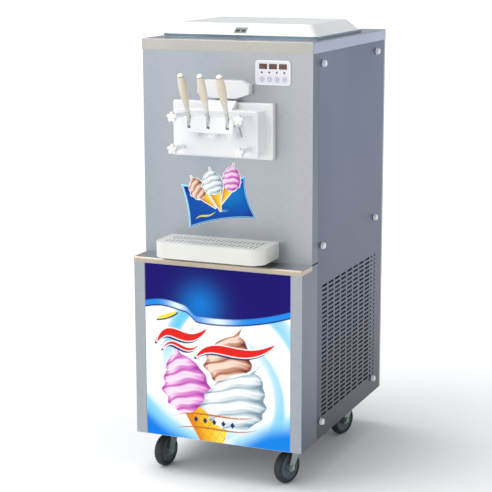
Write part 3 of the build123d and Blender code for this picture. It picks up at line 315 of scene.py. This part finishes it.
# ---------------------------------------------------------------- mesh helpers
def piece(name, points, faces, body, material):
    """A new object from points in metres, riding on a CAD body."""
    mesh = bpy.data.meshes.new(name)
    mesh.from_pydata([tuple(p) for p in points], [], [tuple(f) for f in faces])
    mesh.validate()
    mesh.materials.append(material)
    mesh.update()
    made = bpy.data.objects.new(name, mesh)
    bpy.context.scene.collection.objects.link(made)
    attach(made, body)
    return made


class Shapes:
    """Collects several closed shapes for one piece."""

    def __init__(self):
        self.points, self.faces = [], []

    def add(self, points, faces):
        start = len(self.points)
        self.points += [Vector(p) for p in points]
        self.faces += [tuple(start + i for i in face) for face in faces]

    def lathe(self, profile, origin, axis, turns=32):
        """A profile of (radius, height) turned about an axis, closed at both ends by a flat."""
        axis = Vector(axis).normalized()
        across = axis.orthogonal().normalized()
        beside = axis.cross(across)
        points, faces = [], []
        for radius, height in profile:
            for turn in range(turns):
                angle = 2 * math.pi * turn / turns
                ray = across * math.cos(angle) + beside * math.sin(angle)
                points.append(Vector(origin) + axis * height + ray * radius)
        for ring in range(len(profile) - 1):
            for turn in range(turns):
                after = (turn + 1) % turns
                low, high = ring * turns, (ring + 1) * turns
                faces.append((low + turn, low + after, high + after, high + turn))
        faces.append(tuple(reversed(range(turns))))
        faces.append(tuple((len(profile) - 1) * turns + turn for turn in range(turns)))
        self.add(points, faces)

    def slab(self, outline, y_front, y_back):
        """A flat shape in the XZ plane, given as (x, z) anticlockwise from the front."""
        count = len(outline)
        points = [(x, y_front, z) for x, z in outline] + [(x, y_back, z) for x, z in outline]
        faces = [tuple(range(count)), tuple(reversed(range(count, 2 * count)))]
        for i in range(count):
            after = (i + 1) % count
            faces.append((after, i, count + i, count + after))
        self.add(points, faces)

    def ring(self, outer, inner, y_front, y_back):
        """A flat frame between two outlines with as many points each."""
        count = len(outer)
        points = [(x, y, z) for y in (y_front, y_back) for loop in (outer, inner) for x, z in loop]
        faces = []
        for i in range(count):
            after = (i + 1) % count
            outer_front, inner_front, outer_back, inner_back = (
                (i + loop * count, after + loop * count) for loop in range(4)
            )
            faces.append((*outer_front, *reversed(inner_front)))
            faces.append((*reversed(outer_back), *inner_back))
            faces.append((*reversed(outer_front), *outer_back))
            faces.append((*inner_front, *reversed(inner_back)))
        self.add(points, faces)

    def piece(self, name, body, slot, material):
        return piece(name, self.points, self.faces, body, material)


def circle(x, z, radius, count=28):
    return [
        (x + radius * math.cos(2 * math.pi * i / count), z + radius * math.sin(2 * math.pi * i / count))
        for i in range(count)
    ]


def rectangle(x, z, wide, tall):
    return [
        (x - wide / 2, z - tall / 2), (x + wide / 2, z - tall / 2),
        (x + wide / 2, z + tall / 2), (x - wide / 2, z + tall / 2),
    ]


# ---------------------------------------------------------------- printed artwork
INDIGO, AZURE = linear(18, 4, 108), linear(4, 118, 206)
NAVY, SKY = linear(14, 16, 104), linear(96, 200, 246)
WHITE = linear(252, 253, 254)
TONES = {  # dark, middle and light of each flavour
    "berry": (linear(168, 58, 164), linear(216, 124, 200), linear(250, 222, 240)),
    "cocoa": (linear(112, 54, 42), linear(196, 138, 112), linear(246, 218, 200)),
    "milk": (linear(120, 146, 160), linear(202, 216, 222), linear(252, 253, 253)),
}
CONE_TONES = (linear(222, 130, 20), linear(246, 190, 40), linear(255, 226, 84))


def lay(canvas, colour, mask):
    """Paints a colour over the canvas where the mask says."""
    canvas += (colour - canvas) * mask[..., None]


def inside_of(distance, blur=0.8):
    """1 inside an edge and 0 outside it, from the distance in millimetres, inwards positive."""
    return smooth(-blur, blur, distance)


class Swirl:
    """A soft-serve swirl between its base and its tip, in millimetres."""

    def __init__(self, base, tip, half, tones, ribs=4.5, curl=0.0, lean=0.0):
        self.base = np.array(base, float)
        self.half, self.tones, self.ribs, self.curl, self.lean = half, TONES[tones], ribs, curl, lean
        run = np.array(tip, float) - self.base
        self.tall = np.hypot(*run)
        self.up = run / self.tall
        self.right = np.array((self.up[1], -self.up[0]))

    def width(self, t, side, grow=0.0):
        """Half the width at a height t: a scalloped dome with a thin point on top."""
        t = np.clip(t, 0, 1)
        dome = (0.62 + 0.38 * smooth(0, 0.3, t)) * np.sqrt(np.clip(1 - (t / 0.84) ** 2.4, 0, 1))
        point = 0.52 * (1 - t) ** 0.85
        body = np.maximum(dome, point)
        scallop = 1 + 0.08 * np.cos(2 * math.pi * (self.ribs * t + 0.25 * side)) * (1 - t)
        return self.half * body * scallop + grow

    def centre(self, t):
        """How far the middle line strays from the straight line between base and tip."""
        t = np.clip(t, 0, 1)
        return self.tall * (self.curl * t**3 + self.lean * np.sin(math.pi * t))

    def floor(self, s):
        """The rounded underside, as a height t."""
        return 0.05 - 0.13 * (1 - s * s)

    def points(self, s, t, grow=0.0):
        """The outline's own grid: s runs across from -1 to 1 and t up from 0 to 1."""
        low = self.floor(s) - grow / self.tall
        height = low + (1 + 0.6 * grow / self.tall - low) * t
        across = self.centre(height) + s * self.width(height, np.sign(s), grow)
        place = self.base + height[..., None] * self.tall * self.up + across[..., None] * self.right
        return place[..., 0], place[..., 1]

    def paint(self, canvas, u, v):
        offset = np.stack((u - self.base[0], v - self.base[1]), -1)
        t = offset @ self.up / self.tall
        across = offset @ self.right - self.centre(t)
        wide = np.maximum(self.width(t, np.sign(across)), 0.3)
        s = across / wide
        inside = inside_of((1 - abs(s)) * wide)
        inside = inside * inside_of((t - self.floor(np.clip(s, -1, 1))) * self.tall) * (t < 1)
        phase = self.ribs * t - 0.42 * s + 0.34 * s * s + 0.06 * np.sin(5 * s + 9 * t)
        part = phase - np.floor(phase)
        ridge = np.sin(math.pi * part) ** 0.7 * (0.55 + 0.45 * part)
        fine = 0.10 * np.sin(2 * math.pi * (3 * phase + 0.4 * s))
        side = 0.34 * smooth(0.1, 1.0, s) - 0.16 * smooth(-0.1, -0.8, s)
        rim = 0.45 * smooth(0.74, 1.0, abs(s))
        light = np.clip(0.16 + 1.02 * ridge + fine - side - rim, 0, 1)
        dark, mid, pale = self.tones
        tone = dark + (mid - dark) * smooth(0, 0.55, light)[..., None]
        tone = tone + (pale - tone) * smooth(0.5, 1.0, light)[..., None]
        lay(canvas, tone, inside)


class Cone:
    """A wafer cone from its mouth down to its point, in millimetres."""

    def __init__(self, mouth, point, half, point_half=1.0, mesh=10.0):
        self.point = np.array(point, float)
        self.half, self.point_half, self.mesh = half, point_half, mesh
        run = np.array(mouth, float) - self.point
        self.tall = np.hypot(*run)
        self.up = run / self.tall
        self.right = np.array((self.up[1], -self.up[0]))

    def points(self, s, t, grow=0.0):
        height = t * self.tall - grow * (1 - t)
        across = s * (self.point_half + (self.half - self.point_half) * t + grow)
        place = self.point + height[..., None] * self.up + across[..., None] * self.right
        return place[..., 0], place[..., 1]

    def paint(self, canvas, u, v):
        offset = np.stack((u - self.point[0], v - self.point[1]), -1)
        height = offset @ self.up
        t = height / self.tall
        wide = self.point_half + (self.half - self.point_half) * np.clip(t, 0, 1)
        s = (offset @ self.right) / wide
        inside = inside_of((1 - abs(s)) * wide) * (t > -0.02) * (t < 1.02)
        dark, mid, pale = CONE_TONES
        tone = dark + (mid - dark) * smooth(-1.0, -0.2, s)[..., None]
        tone = tone + (pale - tone) * smooth(-0.3, 0.7, s)[..., None]
        lay(canvas, tone, inside)
        for lean in (-0.55, 0.55):
            line = np.sin(2 * math.pi * (height + lean * (offset @ self.right) * 2) / self.mesh)
            lay(canvas, dark, inside * 0.5 * smooth(0.86, 0.99, line))


def bezier(start, first, second, end, count=60):
    t = np.linspace(0, 1, count)[:, None]
    a, b, c, d = (np.array(p, float) for p in (start, first, second, end))
    return a * (1 - t) ** 3 + 3 * b * t * (1 - t) ** 2 + 3 * c * t * t * (1 - t) + d * t**3


def stroke(canvas, u, v, path, half, colour, shift=(0, 0), grow=0.0):
    """A tapered brush stroke along a path."""
    reach = np.full(u.shape, -1e3)
    for step, (x, y) in enumerate(path):
        body = half * (0.12 + 0.88 * math.sin(math.pi * step / (len(path) - 1)) ** 0.7) + grow
        distance = np.hypot(u - x - shift[0], v - y - shift[1])
        reach = np.maximum(reach, body - distance)
    lay(canvas, colour, inside_of(reach, 0.7))


def paint_poster(u, v):
    """The lower door's print: indigo sky over a wave, and three ice creams in one cone below it."""
    canvas = np.empty(u.shape + (3,))
    canvas[:] = WHITE

    # pale blue whirls around the ice creams
    for middle_u, middle_v, turn in ((20.0, 190.0, 0.0), (-10.0, 230.0, 2.2)):
        radius = np.hypot(u - middle_u, (v - middle_v) * 0.92)
        angle = np.arctan2(v - middle_v, u - middle_u)
        arms = np.sin(7.4 * np.log(np.maximum(radius, 20) / 60) + 2 * angle + turn)
        band = smooth(0.6, 0.97, arms) * smooth(110, 170, radius) * smooth(330, 240, radius)
        lay(canvas, SKY, 0.8 * band)

    # blue water in the lower corners, pale at its edge
    shallow = linear(130, 208, 248)
    over_left, over_right = v + 0.62 * (u + 235) - 92, v - 0.46 * (u - 20) + 8
    lay(canvas, shallow, smooth(70, -10, over_left))
    lay(canvas, linear(0, 122, 226), smooth(10, -44, over_left + 10 * np.sin(u / 40)))
    lay(canvas, shallow, 0.9 * smooth(46, -6, over_right) * smooth(20, 70, u))
    lay(canvas, linear(6, 130, 228), smooth(10, -44, over_right + 8 * np.sin(u / 34)) * smooth(20, 60, u))

    # three ice creams in one cone
    glow = smooth(1.25, 0.75, np.hypot((u + 10) / 190, (v - 170) / 150))
    lay(canvas, WHITE, 0.85 * glow)
    Swirl((44, 186), (44, 366), 80, "cocoa", 4.6, 0.22, -0.06).paint(canvas, u, v)
    Cone((-32, 112), (-13, -12), 86, 34, 30.0).paint(canvas, u, v)
    Swirl((-108, 96), (-108, 296), 82, "berry", 5.0, -0.2, 0.05).paint(canvas, u, v)
    Swirl((50, 56), (50, 262), 108, "milk", 5.0, 0.48, 0.0).paint(canvas, u, v)

    # red ribbons where a title would stand, and two thin flourishes
    ribbons = (
        (bezier((-196, 296), (-150, 378), (-110, 270), (-34, 348)), 13.0),
        (bezier((-66, 262), (0, 332), (76, 240), (186, 322)), 13.0),
        (bezier((-176, 276), (-140, 330), (-110, 250), (-60, 296)), 5.0),
    )
    for path, half in ribbons:
        stroke(canvas, u, v, path, half, NAVY, (-5, -6), 2.0)
        stroke(canvas, u, v, path, half, WHITE, (0, 0), 3.0)
        stroke(canvas, u, v, path, half, linear(226, 34, 26))
    for lift in (0, -42):
        path = bezier((-150, 66 + lift), (-70, 104 + lift), (60, 62 + lift), (130, 98 + lift))
        stroke(canvas, u, v, path, 3.2, linear(196, 112, 50))

    # a yellow flash and a row of diamonds, in place of small words
    flash = bezier((-196, 366), (-174, 374), (-152, 382), (-130, 392))
    stroke(canvas, u, v, flash, 6.0, NAVY, (1, -2), 2.0)
    stroke(canvas, u, v, flash, 6.0, linear(238, 226, 70))
    for across in (-70, -40, -10, 20, 50):
        diamond = abs(u - across) / 7.5 + abs(v - 62 + 0.05 * across) / 10
        lay(canvas, linear(40, 44, 96), smooth(1.08, 0.92, diamond))

    # the wave and the sky above it
    drop = smooth(-104, -62, u)
    left_wave, right_wave = 410 + 9 * np.sin((u + 240) / 38), 375 + 0.00072 * (u + 10) ** 2
    wave = left_wave * (1 - drop) + right_wave * drop
    thick = 8.5 - 2.5 * np.exp(-(((u + 84) / 18) ** 2))
    sky = INDIGO + (AZURE - INDIGO) * np.exp(-((np.hypot(u + 53, v - 420) / 62) ** 2))[..., None]
    lay(canvas, NAVY, inside_of(v - wave + thick + 4.0))
    shine = np.exp(-(((u + 128) / 32) ** 2)) + np.exp(-(((u - 4) / 46) ** 2))
    blue, pale = linear(30, 140, 232), linear(226, 244, 255)
    band = blue + (pale - blue) * np.clip(shine, 0, 1)[..., None]
    band = band * (0.86 + 0.14 * np.cos((v - wave) / thick * 1.5))[..., None]
    lay(canvas, band, inside_of(v - wave + thick))
    lay(canvas, sky, inside_of(v - wave - thick))
    return canvas


def patches(name, parts, body, material):
    """One piece made of thin sheets, each a grid of points in the XZ plane with a colour at each.

    parts holds (x, z, colour, y_front, y_back), with x, z and colour as grids.
    """
    points, faces, colours = [], [], []
    for x, z, colour, y_front, y_back in parts:
        start = len(points)
        rows, columns = x.shape
        front = np.stack((x, np.full(x.shape, y_front), z), -1).reshape(-1, 3)
        index = np.arange(rows * columns).reshape(rows, columns)
        border = np.concatenate((index[0, :-1], index[:-1, -1], index[-1, :0:-1], index[:0:-1, 0]))
        back = front[border].copy()
        back[:, 1] = y_back
        points += [*front, *back]
        colours += [*colour.reshape(-1, 3), *colour.reshape(-1, 3)[border]]
        quads = np.stack((index[:-1, :-1], index[:-1, 1:], index[1:, 1:], index[1:, :-1]), -1)
        faces += (quads.reshape(-1, 4) + start).tolist()
        count = len(border)
        behind = start + rows * columns + np.arange(count)
        edge = start + border
        for i in range(count):
            after = (i + 1) % count
            faces.append((edge[after], edge[i], behind[i], behind[after]))
        faces.append(tuple(behind[::-1]))
    made = piece(name, points, faces, body, material)
    layer = made.data.color_attributes.new("paint", "FLOAT_COLOR", "POINT")
    flat = np.ones((len(points), 4), np.float32)
    flat[:, :3] = colours
    layer.data.foreach_set("color", flat.ravel())


def make_poster():
    """A thin printed sheet over the lower door's face."""
    low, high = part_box("lower_front_panel")
    step = 1.6 * MM
    inset = 0.6 * MM
    columns = round((high.x - low.x - 2 * inset) / step)
    rows = round((high.z - low.z - 2 * inset) / step)
    x, z = np.meshgrid(
        np.linspace(low.x + inset, high.x - inset, columns),
        np.linspace(low.z + inset, high.z - inset, rows),
    )
    colour = paint_poster(x / MM, (z - low.z) / MM)
    sheet = (x, z, colour, low.y - 0.3 * MM, low.y - 0.02 * MM)
    patches("lower_poster", [sheet], "cabinet", POSTER_PRINT)


def banner_points(s, t):
    """The banner's outline, with each side bowed inwards; s runs right and t up, from 0 to 1."""
    bow_s, bow_t = 4 * s * (1 - s), 4 * t * (1 - t)
    top_u, top_v = -149 + 209 * s, 214 + 37 * s - 14 * bow_s
    low_u, low_v = -124 + 220 * s, 82 + 43 * s + 12 * bow_s
    u = low_u * (1 - t) + top_u * t + bow_t * (7 * (1 - s) - 11 * s)
    return u, low_v * (1 - t) + top_v * t


def paint_banner(s, t):
    """Blue fading across, with a pale line, a navy line and a white edge around it."""
    wide, tall = 215, 135  # the banner's own size in millimetres
    canvas = np.empty(s.shape + (3,))
    canvas[:] = linear(8, 76, 172)
    lay(canvas, linear(0, 122, 200), np.exp(-((s - 0.72) ** 2 + (t - 0.62) ** 2) / 0.10))
    lay(canvas, linear(26, 20, 122), smooth(0.34, 0.0, s + 0.7 * (1 - t)))
    lay(canvas, linear(34, 18, 120), smooth(0.30, 0.0, (1 - s) + 0.8 * t))
    right_low = np.minimum((1 - s) * wide, t * tall)
    edge = np.minimum(right_low, np.minimum(s * wide, (1 - t) * tall))
    lay(canvas, linear(140, 216, 252), smooth(6.4, 5.6, edge))
    lay(canvas, NAVY, smooth(3.8, 3.0, right_low))
    lay(canvas, linear(222, 240, 252), smooth(1.5, 0.9, edge))
    swash = bezier((24, 22), (50, 38), (58, 10), (92, 32))
    stroke(canvas, s * wide, t * tall, swash, 3.2, linear(236, 232, 70))
    for lift in (34, 29):
        dash = bezier((104, lift), (112, lift + 1), (120, lift - 1), (138, lift))
        stroke(canvas, s * wide, t * tall, dash, 0.9, linear(150, 214, 250))
    return canvas


BANNER_TREATS = (
    (Cone((-76, 184), (-36, 149), 15), Swirl((-80, 180), (-121, 240), 29, "cocoa", 4.0, 0.05)),
    (Cone((7, 214), (-18, 162), 16), Swirl((10, 208), (26, 288), 31, "berry", 4.5, -0.04)),
    (Cone((-39, 200), (-20, 141), 20), Swirl((-42, 194), (-52, 272), 36, "milk", 4.5, -0.05)),
)


def make_banner():
    """The banner on the upper front, and the three ice creams that rise out of it."""
    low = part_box("front_panel")[0]
    film = 0.08 * MM  # from each layer to the next
    border = 2.4  # white edge around each shape, in millimetres
    layers = []

    def sheet(place, colour):
        u, v = place
        front = low.y - (len(layers) + 1) * film
        layers.append((u * MM, low.z + v * MM, colour, front, front + 0.9 * film))

    s, t = np.meshgrid(np.linspace(0, 1, 240), np.linspace(0, 1, 160))
    sheet(banner_points(s, t), paint_banner(s, t))
    patches("front_banner", layers, "cabinet", BANNER_PRINT)

    across, up = np.meshgrid(np.linspace(-1, 1, 90), np.linspace(0, 0.985, 110))
    white = np.empty(across.shape + (3,))
    white[:] = WHITE
    for shapes in BANNER_TREATS:
        for shape in shapes:
            sheet(shape.points(across, up, border), white)
        for shape in shapes:
            place = shape.points(across, up)
            canvas = white.copy()
            shape.paint(canvas, *place)
            sheet(place, canvas)
    patches("banner_ice_creams", layers[1:], "cabinet", BANNER_PRINT)


make_poster()
make_banner()


# ---------------------------------------------------------------- small fittings
def make_hood_rim():
    """The raised edge around the hood's flat face."""
    low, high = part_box("head_hood")
    wide, narrow, foot = high.x, 0.69 * high.x, 0.48 * high.x
    outline = [
        (foot, low.z), (wide, low.z + 14 * MM), (wide, high.z - 12 * MM), (narrow, high.z),
        (-narrow, high.z), (-wide, high.z - 12 * MM), (-wide, low.z + 14 * MM), (-foot, low.z),
    ]
    rise = (low.z + high.z) / 2

    def shrunk(by_x, by_z):
        return [(x * by_x, rise + (z - rise) * by_z) for x, z in outline]

    shapes = Shapes()
    shapes.ring(shrunk(0.975, 0.94), shrunk(0.93, 0.82), low.y - 0.9 * MM, low.y + 1.0 * MM)
    shapes.piece("hood_rim", "cabinet", "white_plastic", MATERIALS["white_plastic"])


def make_lid_grip():
    """A grey finger grip let into the lid's front slope, with a dark sheet of painted shade in its two
    holes.
    """
    low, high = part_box("hopper_lid")
    slope_low = Vector((0, low.y + 8 * MM, low.z + 8 * MM))
    slope_high = Vector((0, low.y + 47 * MM, high.z))
    slope = slope_high - slope_low
    centre = slope_low + slope * 0.38
    tilt = Matrix.Rotation(-math.atan2(slope.y, slope.z), 4, "X")
    frame_plate, shade_sheet = Shapes(), Shapes()
    outer, inner = rectangle(0, 0, 38 * MM, 23 * MM), rectangle(0, 0, 31 * MM, 15 * MM)
    frame_plate.ring(outer, inner, -1.6 * MM, 1.0 * MM)
    frame_plate.slab(rectangle(0, 0, 4 * MM, 15.5 * MM), -1.2 * MM, 0.5 * MM)
    frame_plate.slab(rectangle(0, 5 * MM, 31.5 * MM, 4 * MM), -1.4 * MM, 0.5 * MM)
    # painted shade: a dark sheet just behind the frame fills its holes
    shade_sheet.slab(rectangle(0, 0, 31.5 * MM, 15.5 * MM), -0.25 * MM, 0.6 * MM)
    for shapes in (frame_plate, shade_sheet):
        shapes.points = [centre + tilt @ point for point in shapes.points]
    frame_plate.piece("lid_grip", "lid", "stainless_sheet", GREY_FRAME)
    shade_sheet.piece("lid_grip_recess_shade", "lid", "grommet", RECESS_SHADE)


def make_star_caps():
    """A cream disc in the middle of each star knob."""
    for side in ("left", "right"):
        for height in ("lower", "upper"):
            name = "star_knob_" + height + "_" + side
            low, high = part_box(name)
            spot = Vector(((low.x + high.x) / 2, low.y, (low.z + high.z) / 2 - 0.7 * MM))
            cap = Shapes()
            profile = [(5.6, -0.6), (5.6, 0.2), (5.2, 0.6), (4.4, 0.75), (3.9, 0.5)]
            cap.lathe([(r * MM, h * MM) for r, h in profile], spot, (0, -1, 0))
            cap.piece(name + "_cap", name, "white_plastic", CREAM)


def make_thumb_knobs():
    """Domed white thumb knobs with a collar at the foot, in place of the plain ones."""
    low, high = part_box("panel_knobs")
    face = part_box("side_panel_right")[1].x
    radius, middle_row = 10.5 * MM, 544 * MM
    rows = (low.z + radius, low.z + radius + middle_row, high.z - radius)
    outline = (
        (8.6, 0), (10.4, 0.6), (10.5, 2.6), (9.6, 3.2), (9.8, 7.4), (9.2, 9.6), (7.6, 11.2), (4.6, 11.9),
    )
    profile = [(r * MM, h * MM) for r, h in outline]
    knobs = Shapes()
    for side in (-1, 1):
        for y in (low.y + radius, high.y - radius):
            for z in rows:
                knobs.lathe(profile, (side * face, y, z), (side, 0, 0), 36)
    made = knobs.piece("thumb_knobs", "cabinet", "white_plastic", MATERIALS["white_plastic"])
    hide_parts("panel_knobs")


def make_button_marks():
    """A thin ring on each button, with a plain mark inside it."""
    for number in range(1, 5):
        low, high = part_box("button_" + str(number))
        x, z = (low.x + high.x) / 2, (low.z + high.z) / 2
        front, back = low.y - 0.06 * MM, low.y + 0.4 * MM
        marks = Shapes()
        marks.ring(circle(x, z, 5.7 * MM), circle(x, z, 5.2 * MM), front, back)
        if number == 1:
            marks.slab(rectangle(x, z, 0.7 * MM, 5 * MM), front, back)
            marks.slab(rectangle(x + 1.6 * MM, z, 0.7 * MM, 3 * MM), front, back)
        elif number == 2:
            marks.ring(circle(x, z, 2.4 * MM), circle(x, z, 1.9 * MM), front, back)
        elif number == 3:
            marks.slab(circle(x, z, 2.2 * MM, 3), front, back)
        else:
            marks.slab(circle(x, z, 1.6 * MM), front, back)
        marks.piece("button_mark_" + str(number), "button_" + str(number), "display_plastic", LINE_INK)


BARS_OF_ZERO = (  # x, z, wide and tall of each bar, as shares of the figure's size
    (0, 0.5, 0.8, 0.12), (0, -0.5, 0.8, 0.12),
    (-0.5, 0.25, 0.12, 0.4), (0.5, 0.25, 0.12, 0.4),
    (-0.5, -0.25, 0.12, 0.4), (0.5, -0.25, 0.12, 0.4),
)


def make_digits():
    """Two noughts of six bars in each display window."""
    low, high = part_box("display_windows")
    figure_wide, figure_tall, thinnest = 5 * MM, 8.4 * MM, 0.7 * MM
    half_window, half_tall, half_pitch = 12.2 * MM, 7.6 * MM, 4.2 * MM
    front, rise = low.y + 0.5 * MM, high.z - half_tall
    pitch = (high.x - low.x - 2 * half_window) / 2
    figures = Shapes()
    for window in (0, 1, 2):
        for place in (-1, 1):
            x = low.x + half_window + window * pitch + place * half_pitch
            for across, up, wide, tall in BARS_OF_ZERO:
                bar = rectangle(
                    x + across * figure_wide, rise + up * figure_tall,
                    wide * figure_wide, max(tall * figure_tall, thinnest),
                )
                figures.slab(bar, front, front + 0.3 * MM)
    figures.piece("display_figures", "cabinet", "display_plastic", DIGIT)


make_hood_rim()
make_lid_grip()
make_star_caps()
make_thumb_knobs()
make_button_marks()
make_digits()


# ---------------------------------------------------------------- stage, light and camera
def make_stage():
    """A wide pale floor under the wheels."""
    half = 40.0
    mesh = bpy.data.meshes.new("floor")
    corners = [(-half, -half, 0), (half, -half, 0), (half, half, 0), (-half, half, 0)]
    mesh.from_pydata(corners, [], [(0, 1, 2, 3)])
    floor = bpy.data.objects.new("floor", mesh)
    bpy.context.scene.collection.objects.link(floor)
    n = Nodes("floor_paint")
    n.set("Base Color", n.mix(n.fade(n.noise(0.5, 2), 0.4, 0.6), (250, 250, 250), (252, 252, 252)))
    n.set("Roughness", 0.9)
    n.set("Specular IOR Level", 0.0)
    mesh.materials.append(n.material)


def soft_sun(name, towards, strength, spread):
    """A broad soft light from one side of the studio."""
    data = bpy.data.lights.new(name, "SUN")
    data.energy, data.angle = strength, math.radians(spread)
    light = bpy.data.objects.new(name, data)
    light.rotation_euler = Vector(towards).to_track_quat("Z", "Y").to_euler()
    light.location = Vector(towards) * 5
    bpy.context.scene.collection.objects.link(light)


def make_lights():
    """Two broad suns and a pale sky."""
    soft_sun("top", (-0.35, -0.1, 0.93), 1.5, 50)
    soft_sun("front", (-0.5, -0.8, 0.34), 1.02, 60)
    world = bpy.data.worlds.new("studio")
    world.use_nodes = True
    sky = world.node_tree.nodes["Background"]
    sky.inputs["Color"].default_value = (0.97, 0.985, 1.0, 1)
    sky.inputs["Strength"].default_value = 0.6
    bpy.context.scene.world = world


def make_camera():
    """A long lens from the front right, a little above the lid."""
    place = (1.77075, -4.24309, 1.62263)
    heading, tilt, roll = (math.radians(angle) for angle in (23.095, -11.725, -0.167))
    data = bpy.data.cameras.new("camera")
    data.lens, data.sensor_width = 110.05, 36.0
    camera = bpy.data.objects.new("camera", data)
    turn = Matrix.Rotation(heading, 4, "Z") @ Matrix.Rotation(math.radians(90) + tilt, 4, "X")
    camera.matrix_world = Matrix.Translation(place) @ turn @ Matrix.Rotation(roll, 4, "Z")
    bpy.context.scene.collection.objects.link(camera)
    bpy.context.scene.camera = camera


make_stage()
make_lights()
make_camera()
bpy.context.scene.view_settings.view_transform = "Standard"
